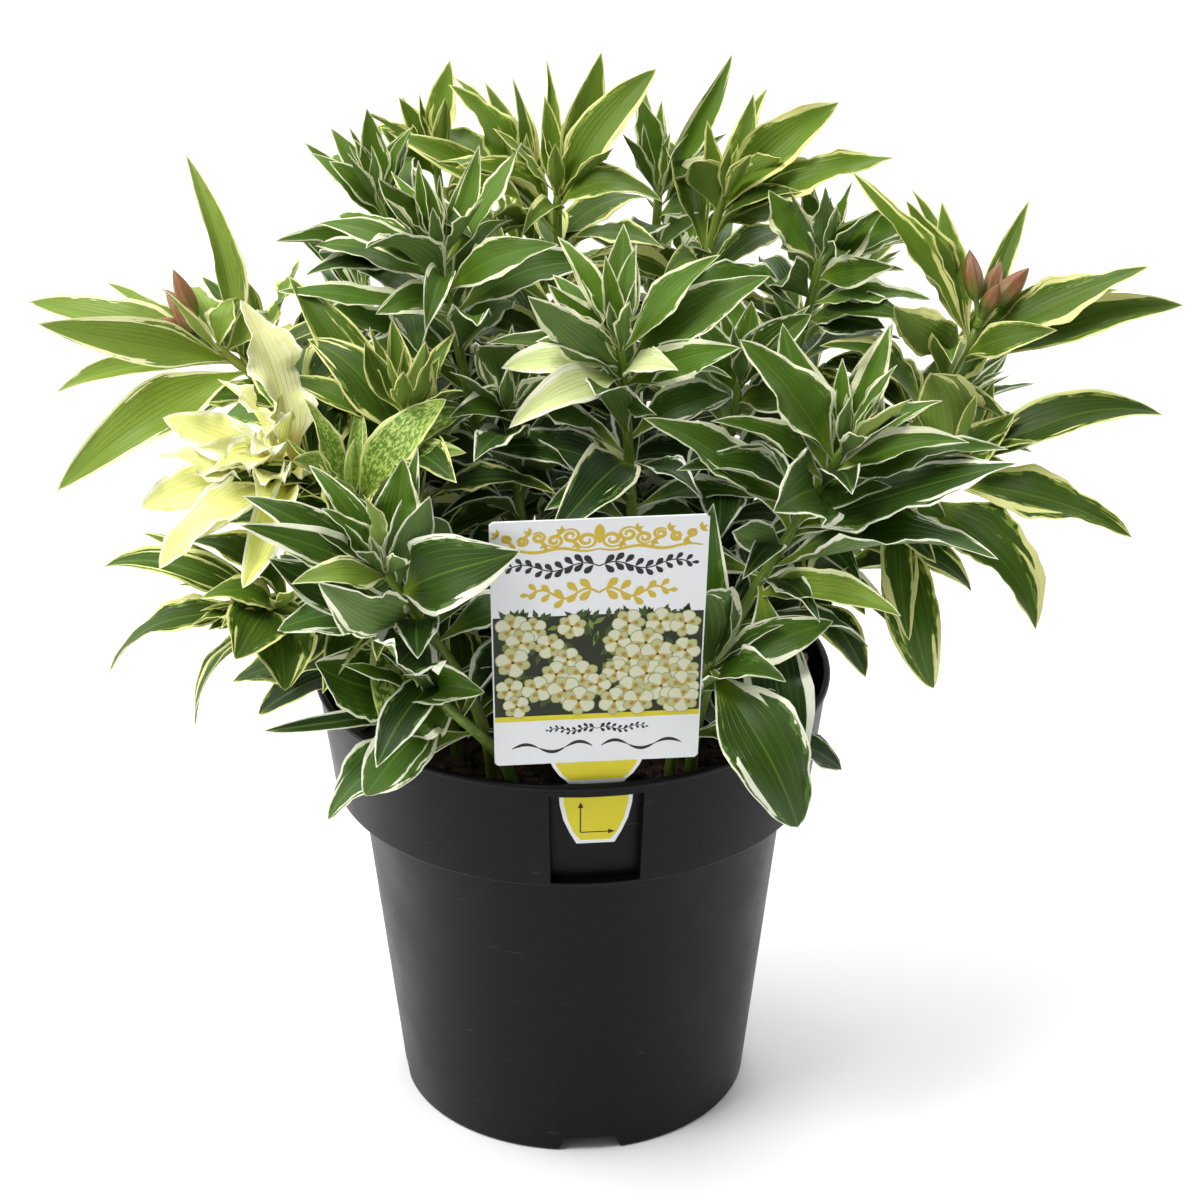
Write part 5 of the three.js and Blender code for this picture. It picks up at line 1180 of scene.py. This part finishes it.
def make_pot():
    """The pot: tapered body, stepped collar, rounded lip, tag slot, foot notches and drain holes."""
    material = pot_material()
    lip_z = POT_HEIGHT - LIP_HEIGHT
    inner_foot = BASE_RADIUS - WALL
    inner_top = collar_radius(POT_HEIGHT) - WALL
    profile = [(0, 0), (MIDDLE_FOOT_RADIUS, 0), (MIDDLE_FOOT_RADIUS + 1, FLOOR_Z)]
    profile += [(BASE_RADIUS - STANDING_RING - 1, FLOOR_Z), (BASE_RADIUS - STANDING_RING, 0)]
    profile += corner(BASE_RADIUS - 1.5, 1.5, 1.5, -90, 0)
    profile += [(BODY_TOP_RADIUS - 0.2, COLLAR_FOOT_Z - 3)]
    profile += [(BODY_TOP_RADIUS + 0.5, COLLAR_FOOT_Z - 0.9), (BODY_TOP_RADIUS + 1.6, COLLAR_FOOT_Z)]
    profile += corner(COLLAR_FOOT_RADIUS - 1.2, COLLAR_FOOT_Z + 1.2, 1.2, -90, 0)
    profile += [(collar_radius(lip_z - 0.5), lip_z - 0.5)]
    profile += corner(RIM_RADIUS - 1, lip_z + 1, 1, -60, 0, 3)
    profile += corner(RIM_RADIUS - 1, POT_HEIGHT - 1, 1, 0, 90)
    profile += corner(inner_top + 0.8, POT_HEIGHT - 0.8, 0.8, 90, 180)
    step_z = COLLAR_FOOT_Z + WALL
    profile += [(COLLAR_FOOT_RADIUS - WALL, step_z), (BODY_TOP_RADIUS - WALL, step_z)]
    profile += [(inner_foot, FLOOR_Z + FLOOR_THICKNESS), (0, FLOOR_Z + FLOOR_THICKNESS)]
    pot = lathe("pot_fine", profile, POT_SIDES, material)
    depth = SLOT_DEPTH + WALL
    foot, top, bar_foot = collar_radius(COLLAR_FOOT_Z), collar_radius(POT_HEIGHT), POT_HEIGHT - BAR_HEIGHT
    wide = SLOT_FRONT_HALF_ANGLE + SLOT_CHEEK_ANGLE
    combine(pot, ring_sector("niche", foot - depth, foot - 0.6, top - depth, top - 0.6,
                             COLLAR_FOOT_Z, POT_HEIGHT - 0.1, wide, material), "UNION")
    combine(pot, ring_sector("recess", foot - SLOT_DEPTH, foot + 8, collar_radius(bar_foot) - SLOT_DEPTH,
                             collar_radius(bar_foot) + 8, COLLAR_FOOT_Z + WALL, bar_foot,
                             SLOT_FRONT_HALF_ANGLE, material), "DIFFERENCE")
    low, high = collar_radius(bar_foot - 1), collar_radius(POT_HEIGHT + 1)
    combine(pot, ring_sector("throat", low - SLOT_DEPTH, low - BAR_THICKNESS, high - SLOT_DEPTH,
                             high - BAR_THICKNESS, bar_foot - 1, POT_HEIGHT + 1,
                             SLOT_FRONT_HALF_ANGLE, material), "DIFFERENCE")
    for i in range(DRAIN_COUNT):
        turn = Matrix.Rotation(2 * math.pi * i / DRAIN_COUNT + SLOT_TURN, 4, "Z")
        out = BASE_RADIUS - STANDING_RING - 4
        corners = [(-NOTCH_FOOT_WIDTH / 2, -1), (NOTCH_FOOT_WIDTH / 2, -1),
                   (NOTCH_TOP_WIDTH / 2, NOTCH_HEIGHT), (-NOTCH_TOP_WIDTH / 2, NOTCH_HEIGHT)]
        points = [turn @ Vector((x, -y, z)) for y in (out, out + 12) for x, z in corners]
        combine(pot, object_of("notch", points, prism(4), material), "DIFFERENCE")
        centre = turn @ Matrix.Rotation(math.pi / DRAIN_COUNT, 4, "Z") @ Vector((0, -DRAIN_RING_RADIUS, 0))
        rings = [(centre.x + DRAIN_HOLE_RADIUS * math.cos(a), centre.y + DRAIN_HOLE_RADIUS * math.sin(a), z)
                 for z in (FLOOR_Z - 3, FLOOR_Z + 5) for a in (2 * math.pi * k / 24 for k in range(24))]
        combine(pot, object_of("hole", rings, prism(24), material), "DIFFERENCE")
    pot.data.polygons.foreach_set("use_smooth", np.ones(len(pot.data.polygons), bool))
    pot.data.set_sharp_from_angle(angle=math.radians(32))
    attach(pot, "root")
    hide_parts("pot")


def mix_height(x, y):
    """The height of the mix's surface."""
    r = math.hypot(x, y) / RIM_RADIUS
    return MIX_TOP_Z + MIX_DOME * (1 - r * r) + MIX_LUMP * math.sin(x * 0.11 + 1) * math.cos(y * 0.13)


def make_mix():
    """The potting mix's own solid with a better finish, and bark chips scattered over it."""
    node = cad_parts["potting_mix"]
    node.data.materials.clear()
    node.data.materials.append(mix_material())
    rng = random.Random(11)
    chips = PlantMesh()
    cube = np.array([(x, y, z) for z in (-1, 1) for x, y in ((-1, -1), (1, -1), (1, 1), (-1, 1))], float)
    for _ in range(CHIP_COUNT):
        r = CHIP_REACH * math.sqrt(rng.random())
        a = 2 * math.pi * rng.random()
        x, y = r * math.cos(a), r * math.sin(a)
        size = np.array([rng.uniform(1.5, 5), rng.uniform(1, 2.6), rng.uniform(0.5, 1.3)])
        spin = Matrix.Rotation(rng.uniform(0, 6.28), 3, "Z")
        spin = spin @ Matrix.Rotation(rng.uniform(-0.6, 0.6), 3, "X")
        jitter = np.array([rng.uniform(-0.3, 0.3) for _ in range(24)]).reshape(8, 3)
        height = mix_height(x, y) + rng.uniform(-0.4, 1.2)
        if abs(x - TAG_MIDDLE_X + 1) < 22 and y < TAG_FRONT_Y:
            continue
        corners = (cube + jitter) * size @ np.array(spin).T + (x, y, height)
        rng.random()  # one draw that nothing uses, which keeps the draws after it in step
        rings = corners.reshape(2, 4, 3)
        rings = np.concatenate([rings[:1].mean(1, keepdims=True).repeat(4, 1), rings,
                                rings[1:].mean(1, keepdims=True).repeat(4, 1)])
        nature = np.full(rings.shape, rng.random())
        chips.grid(rings, np.zeros(rings.shape), nature, 0, closed_rows=True)
    piece = chips.build("bark_chips", [chip_material()])
    piece.data.polygons.foreach_set("use_smooth", np.zeros(len(piece.data.polygons), bool))
    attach(piece, "root")


def make_stump():
    """The dry stump, split at its top."""
    plant = PlantMesh()
    t = np.linspace(0, 1, 14)
    low = Vector((STUMP_FOOT.x, STUMP_FOOT.y, MIX_TOP_Z + 3))
    places = [tuple(STUMP_FOOT)] + [tuple(low.lerp(STUMP_TOP, float(s))) for s in t]
    turn = np.linspace(0, 2 * np.pi, 18, endpoint=False)
    rows = np.linspace(0, 1, len(places))[:, None]
    ribs = 1 + 0.09 * np.sin(5 * turn)[None, :] + 0.05 * np.sin(3 * turn + 1)[None, :] * np.cos(rows * 9)
    radii = STUMP_RADIUS * (0.98 - 0.22 * rows) * ribs
    add_tube(plant, places, radii, 0, sides=18)
    piece = plant.build("dry_stump_fine", [dry_material()])
    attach(piece, "root")
    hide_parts("dry_stump")


def tag_matrix():
    """Where the tag sits: it leans with the collar, its waist behind the bar."""
    lean = math.atan2(RIM_RADIUS - LIP_PROUD - COLLAR_FOOT_RADIUS, POT_HEIGHT - COLLAR_FOOT_Z)
    waist_middle = TAG_TONGUE_HEIGHT + TAG_WAIST_HEIGHT / 2
    foot_z = POT_HEIGHT - BAR_HEIGHT / 2 - waist_middle * math.cos(lean)
    radius = collar_radius(foot_z) - SLOT_DEPTH + GAP
    place = Matrix.Translation((radius * math.sin(SLOT_TURN), -radius * math.cos(SLOT_TURN), foot_z))
    return place @ Matrix.Rotation(SLOT_TURN, 4, "Z") @ Matrix.Rotation(math.pi / 2 + lean, 4, "X")


class TagArt:
    """Flat shapes printed on the tag, each a thin layer in the tag's own plane."""

    def __init__(self, matrix):
        self.matrix = matrix
        self.layers = {}

    def shape(self, ink, points, level):
        """A filled shape, given round its edge, at a print level above the card."""
        layer = self.layers.setdefault(ink, ([], []))
        start = len(layer[0])
        z = TAG_THICKNESS + INK_STEP * level
        layer[0].extend(self.matrix @ Vector((x, y, z)) for x, y in points)
        layer[1].append(tuple(range(start, start + len(points))))

    def stroke(self, ink, points, widths, level):
        """A line of changing width."""
        points = [Vector(p) for p in points]
        left, right = [], []
        for i, p in enumerate(points):
            ahead = (points[min(i + 1, len(points) - 1)] - points[max(i - 1, 0)]).normalized()
            side = Vector((-ahead.y, ahead.x)) * widths[i] / 2
            left.append(tuple(p + side))
            right.append(tuple(p - side))
        for i in range(len(points) - 1):
            self.shape(ink, [left[i], right[i], right[i + 1], left[i + 1]], level)

    def mirrored(self, ink, points, widths, level):
        """A line on each side of the tag's middle."""
        for side in (-1, 1):
            self.stroke(ink, [(side * x, y) for x, y in points], widths, level)

    def leaf(self, ink, x, y, across, up, wide, level):
        """A small pointed leaf from a point."""
        points = [(x, y), (x + across / 2, y + up / 2), (x + across, y + up)]
        self.stroke(ink, points, [0.3, wide, 0.1], level)

    def petal(self, ink, x, y, turn, size, wide, level):
        """One petal of a printed flower, or one round leaf of a printed spray."""
        ahead, across = Vector((math.cos(turn), math.sin(turn))), Vector((-math.sin(turn), math.cos(turn)))
        half = ((0.1, 0.05), (0.35, 0.62 * wide), (0.62, wide), (0.82, 0.84 * wide), (0.95, 0.4 * wide))
        rim = [(s, w) for s, w in half] + [(1, 0)] + [(s, -w) for s, w in reversed(half)]
        self.shape(ink, [tuple(Vector((x, y)) + size * (ahead * s + across * w)) for s, w in rim], level)

    def spray(self, ink, y, reach, size, count, thick):
        """A waved stem with pairs of leaves, mirrored about the middle."""
        for side in (-1, 1):
            def stem(s):
                return side * reach * s, y + 0.3 * size * math.sin(s * math.pi * 3)
            self.stroke(ink, [stem(i / 39) for i in range(40)], [thick] * 40, 1)
            for k in range(count):
                s = (k + 0.5) / count
                for up in (-1, 1):
                    turn = up * (math.pi / 2 - side * 0.75)
                    self.petal(ink, *stem(s), turn, size * (1 - 0.35 * s), 0.26, 2)
            self.petal(ink, *stem(1), math.pi / 2 - side * math.pi / 2, size * 0.6, 0.26, 2)

    def flower(self, x, y, spin, size, level):
        """A flower of three wide and three narrow petals, the narrow ones with a yellow flecked heart."""
        for k in (0, 2, 4, 1, 3, 5):
            turn = spin + k * math.pi / 3
            ink, wide = ("petal_warm", 0.31) if k % 2 else ("petal", 0.43)
            self.petal("petal_shade", x, y, turn, size * 1.05, wide + 0.03, level)
            self.petal(ink, x, y, turn, size, wide, level + 0.3)
            level += 0.12
        for k in (1, 3, 5):
            turn = spin + k * math.pi / 3
            self.petal("heart", x, y, turn, size * 0.62, 0.2, level + 0.4)
            for lean in (-0.22, 0.0, 0.22):
                way = (math.cos(turn + lean), math.sin(turn + lean))
                line = [(x + size * s * way[0], y + size * s * way[1]) for s in (0.3, 0.45, 0.62)]
                self.stroke("fleck", line, [0.05, 0.28, 0.05], level + 0.8)
        return level + 0.6

    def build(self):
        for ink, (points, faces) in self.layers.items():
            name, *colour = INKS[ink]
            piece = object_of("tag_" + ink, points, faces, print_material(name, shade(*colour)))
            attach(piece, "root")


# Each ink's material and its colour as seen on screen
INKS = dict(
    leaf_ground=("ink_ground", 30, 38, 12), leaf_ink=("ink_leaf", 58, 76, 26),
    leaf_light=("ink_leaf_light", 112, 130, 52), yellow=("ink_yellow", 212, 200, 40),
    gold=("ink_gold", 200, 174, 58), dark_ink=("ink_dark", 34, 34, 34), petal=("ink_petal", 206, 208, 180),
    petal_warm=("ink_petal_warm", 182, 180, 126), petal_shade=("ink_petal_shade", 146, 148, 92),
    heart=("ink_heart", 188, 156, 56), fleck=("ink_fleck", 98, 70, 30),
)


def swell(least, more, steps, times=1):
    """Widths of a line that swells and thins so many times."""
    return [least + more * abs(math.sin(math.pi * times * i / (steps - 1))) for i in range(steps)]


def wave(reach, start, y, height, fade):
    """A line to the right that waves three half turns, less and less."""
    return [(start + reach * s, y + height * math.sin(s * math.pi * 3) * (1 - fade * s))
            for s in (i / 39 for i in range(40))]


def print_scrolls(art, top):
    """Scrolls across the panel's top, with small leaves between them."""
    for k in range(6):
        size = 3.9 - 0.42 * k
        flip, shift = (1, 1.3) if k % 2 else (-1, -0.7)
        cx, cy = 4.4 + 5.6 * k, top - 7.6 + shift * (1 - 0.1 * k)
        spiral = []
        for i in range(26):
            a = math.pi * (0.2 + 3.1 * i / 25)
            r = size * (1 - 0.8 * i / 25)
            spiral.append((cx + r * math.cos(a), cy + flip * 0.85 * r * math.sin(a)))
        art.mirrored("gold", spiral, swell(0.5, 1.0, 26), 1)
        for side in (-1, 1):
            for lean in (-0.4, 0.5, 1.4):
                across, up = side * 2.9 * math.cos(lean), flip * 2.9 * math.sin(lean)
                art.leaf("gold", side * (cx + 2.7), cy + flip * 1.5, across, up, 1.5, 2)
    sweep = [(36 * s, top - 12 - 0.7 * math.sin(s * math.pi * 4)) for s in (i / 39 for i in range(40))]
    art.mirrored("gold", sweep, swell(0.6, 0.7, 40), 1)
    art.petal("gold", 0, top - 10.6, math.pi / 2, 8.6, 0.22, 3)


def print_picture(art, foot, top):
    """Leaves, some of them above the picture's edge, then a bed of flowers that overlap."""
    rng = random.Random(5)
    for i in range(230):
        above = i > 180
        x, y = rng.uniform(-34, 34), rng.uniform(foot + 3, top - 2)
        a, reach = rng.uniform(0.3, 2.8), rng.uniform(3, 6.5)
        if above:
            y, a, reach = top - 1.5, rng.uniform(0.7, 2.4), rng.uniform(3, 5.5)
        across, up = reach * math.cos(a), reach * math.sin(a)
        if above or foot < y + up < top - 0.4 and abs(x + across) < 36:
            art.leaf("leaf_ink" if above or i % 3 else "leaf_light", x, y, across, up, 2.1, 2 + i % 2)
    level = 4
    for row in range(6):
        for column in range(7):
            x = -33 + 11 * column + (5.5 if row % 2 else 0) + rng.uniform(-2, 2)
            y, size = top - 4.5 - 6.6 * row + rng.uniform(-1.6, 1.6), rng.uniform(4.9, 6.3)
            spin = rng.uniform(0, 6.28)
            if rng.random() < 0.12:
                continue
            x = min(max(x, size - 36.4), 36.4 - size)
            y = min(max(y, foot + size - 0.6), top - size + 1.6)
            level = art.flower(x, y, spin, size, level)


def print_arrows(art):
    """Plain height and width arrows on the tongue."""
    art.stroke("dark_ink", [(-5.6, 5), (-5.6, 17)], [0.5, 0.5], 2)
    art.shape("dark_ink", [(-6.7, 16), (-4.5, 16), (-5.6, 18.6)], 2)
    art.stroke("dark_ink", [(-5.6, 5), (5, 5)], [0.5, 0.5], 2)
    art.shape("dark_ink", [(4.6, 3.9), (4.6, 6.1), (7.2, 5)], 2)


def tag_outline(inset=0.0):
    """The tag's edge on one side, from the tongue's foot to the panel's top."""
    tongue_top = TAG_TONGUE_HEIGHT
    waist_top = tongue_top + TAG_WAIST_HEIGHT
    panel_foot = waist_top + TAG_NECK_HEIGHT
    panel_top = panel_foot + TAG_PANEL_HEIGHT
    half_waist = TAG_WAIST_WIDTH / 2
    lower = [
        (TAG_TONGUE_FOOT_WIDTH / 2, inset), (TAG_TONGUE_WIDTH * 0.35, tongue_top * 0.22),
        (TAG_TONGUE_WIDTH * 0.44, tongue_top * 0.5), (TAG_TONGUE_WIDTH * 0.49, tongue_top * 0.8),
        (TAG_TONGUE_WIDTH / 2, tongue_top), (half_waist, tongue_top + 1),
        (half_waist, waist_top - 1), (half_waist + 1.2, waist_top + 0.6),
        (half_waist + 3.4, waist_top + TAG_NECK_HEIGHT * 0.32),
        (TAG_NECK_TOP_WIDTH / 2 - 0.8, panel_foot - 2), (TAG_NECK_TOP_WIDTH / 2, panel_foot),
    ]
    return [(x - inset, y) for x, y in lower] + [
        (TAG_PANEL_WIDTH_FOOT / 2 - 1.2, panel_foot), (TAG_PANEL_WIDTH_FOOT / 2, panel_foot + 1.2),
        (TAG_PANEL_WIDTH_TOP / 2, panel_top - 1.2), (TAG_PANEL_WIDTH_TOP / 2 - 1.2, panel_top),
    ]


def make_tag():
    """The plastic card, with an invented ornament and a bed of invented cream flowers printed on it."""
    matrix = tag_matrix()
    side = tag_outline()
    outline_points = side + [(-x, y) for x, y in reversed(side)]
    n = len(outline_points)
    points = [matrix @ Vector((x, y, z)) for z in (0, TAG_THICKNESS) for x, y in outline_points]
    card = object_of("tag_fine", points, prism(n), print_material("tag_card", shade(226, 228, 230)), 30)
    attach(card, "root")
    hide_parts("plant_tag")

    art = TagArt(matrix)
    panel_foot = TAG_TONGUE_HEIGHT + TAG_WAIST_HEIGHT + TAG_NECK_HEIGHT
    panel_top = panel_foot + TAG_PANEL_HEIGHT
    picture_foot, picture_top = panel_foot + PICTURE_FOOT, panel_foot + PICTURE_TOP

    def half_width(y):
        share = (y - panel_foot) / TAG_PANEL_HEIGHT
        return (TAG_PANEL_WIDTH_FOOT + (TAG_PANEL_WIDTH_TOP - TAG_PANEL_WIDTH_FOOT) * share) / 2 - 0.5

    line_foot = picture_foot - 2.2
    fields = (("leaf_ground", picture_foot, picture_top), ("yellow", line_foot, picture_foot))
    for ink, low, high in fields:
        a, b = half_width(low), half_width(high)
        art.shape(ink, [(-a, low), (a, low), (b, high), (-b, high)], 1)
    # The tongue and the neck are yellow inside a white border.
    for part in (tag_outline(INK_BORDER)[:5], tag_outline(INK_BORDER)[7:11]):
        art.shape("yellow", part + [(-x, y) for x, y in reversed(part)], 1)
    print_scrolls(art, panel_top)
    # Leafy sprays and a flowing line where the maker's words were
    art.spray("dark_ink", panel_top - 19, 32, 5, 9, 0.5)
    art.spray("gold", panel_top - 30, 24, 6.2, 5, 0.9)
    art.spray("dark_ink", panel_foot + 14.5, 17, 2.5, 8, 0.3)
    art.mirrored("dark_ink", wave(29, 1.6, panel_foot + 7, 2.2, 0.3), swell(0.3, 1.1, 40, 3), 1)
    print_picture(art, picture_foot, picture_top)
    print_arrows(art)
    art.build()


# Stage, lights and camera


def make_stage():
    """A plain pale floor."""
    points = [(x, y, 0) for x, y in ((-4000, -3000), (4000, -3000), (4000, 4000), (-4000, 4000))]
    n = Nodes("floor")
    n.shader.inputs["Base Color"].default_value = (*shade(250, 250, 250), 1)
    n.shader.inputs["Roughness"].default_value = 0.7
    object_of("floor", points, [(0, 1, 2, 3)], n.material)


def area_light(name, place, target, size, power):
    """A square soft light that faces a point."""
    data = bpy.data.lights.new(name, "AREA")
    data.shape = "SQUARE"
    data.size = size
    data.energy = power
    obj = bpy.data.objects.new(name, data)
    obj.location = place
    obj.rotation_euler = (Vector(target) - Vector(place)).to_track_quat("-Z", "Y").to_euler()
    bpy.context.scene.collection.objects.link(obj)


def make_light_and_camera():
    """A white room that is dimmer in front, soft lights above and beside, and the photograph's camera."""
    world = bpy.data.worlds.new("studio")
    world.use_nodes = True
    tree = world.node_tree
    background = tree.nodes["Background"]
    background.inputs["Color"].default_value = (1, 1, 1, 1)
    direction = tree.nodes.new("ShaderNodeTexCoord")
    parts = tree.nodes.new("ShaderNodeSeparateXYZ")
    level = tree.nodes.new("ShaderNodeMapRange")
    level.interpolation_type = "SMOOTHSTEP"
    for socket, value in zip(level.inputs[1:5], (-0.75, 0.25, FRONT_LIGHT, BACK_LIGHT)):
        socket.default_value = value
    tree.links.new(direction.outputs["Generated"], parts.inputs[0])
    leftward = tree.nodes.new("ShaderNodeMath")
    leftward.operation = "MULTIPLY_ADD"
    leftward.inputs[1].default_value = -LEFT_BIAS
    tree.links.new(parts.outputs["X"], leftward.inputs[0])
    tree.links.new(parts.outputs["Y"], leftward.inputs[2])
    tree.links.new(leftward.outputs[0], level.inputs["Value"])
    tree.links.new(level.outputs[0], background.inputs["Strength"])
    bpy.context.scene.world = world
    for light in LIGHTS:
        area_light(*light)
    bpy.context.scene.view_settings.view_transform = "Standard"
    camera = bpy.data.objects.new("camera", bpy.data.cameras.new("camera"))
    camera.data.lens = CAMERA_LENS
    camera.data.sensor_width = 36
    camera.location = CAMERA_PLACE
    camera.rotation_euler = (math.radians(90 - CAMERA_PITCH), 0, math.radians(-CAMERA_YAW))
    bpy.context.scene.collection.objects.link(camera)
    bpy.context.scene.camera = camera


leaf_kinds = [leaf_material("leaf_" + kind, look) for kind, look in LOOKS.items()]
materials = leaf_kinds + [stem_material(), bud_material()]
for index, spec in enumerate(SHOOTS):
    make_shoot(spec, index, materials)
for cluster in BUD_CLUSTERS:
    make_buds(cluster, materials)
make_pot()
make_mix()
make_stump()
make_tag()
make_stage()
make_light_and_camera()
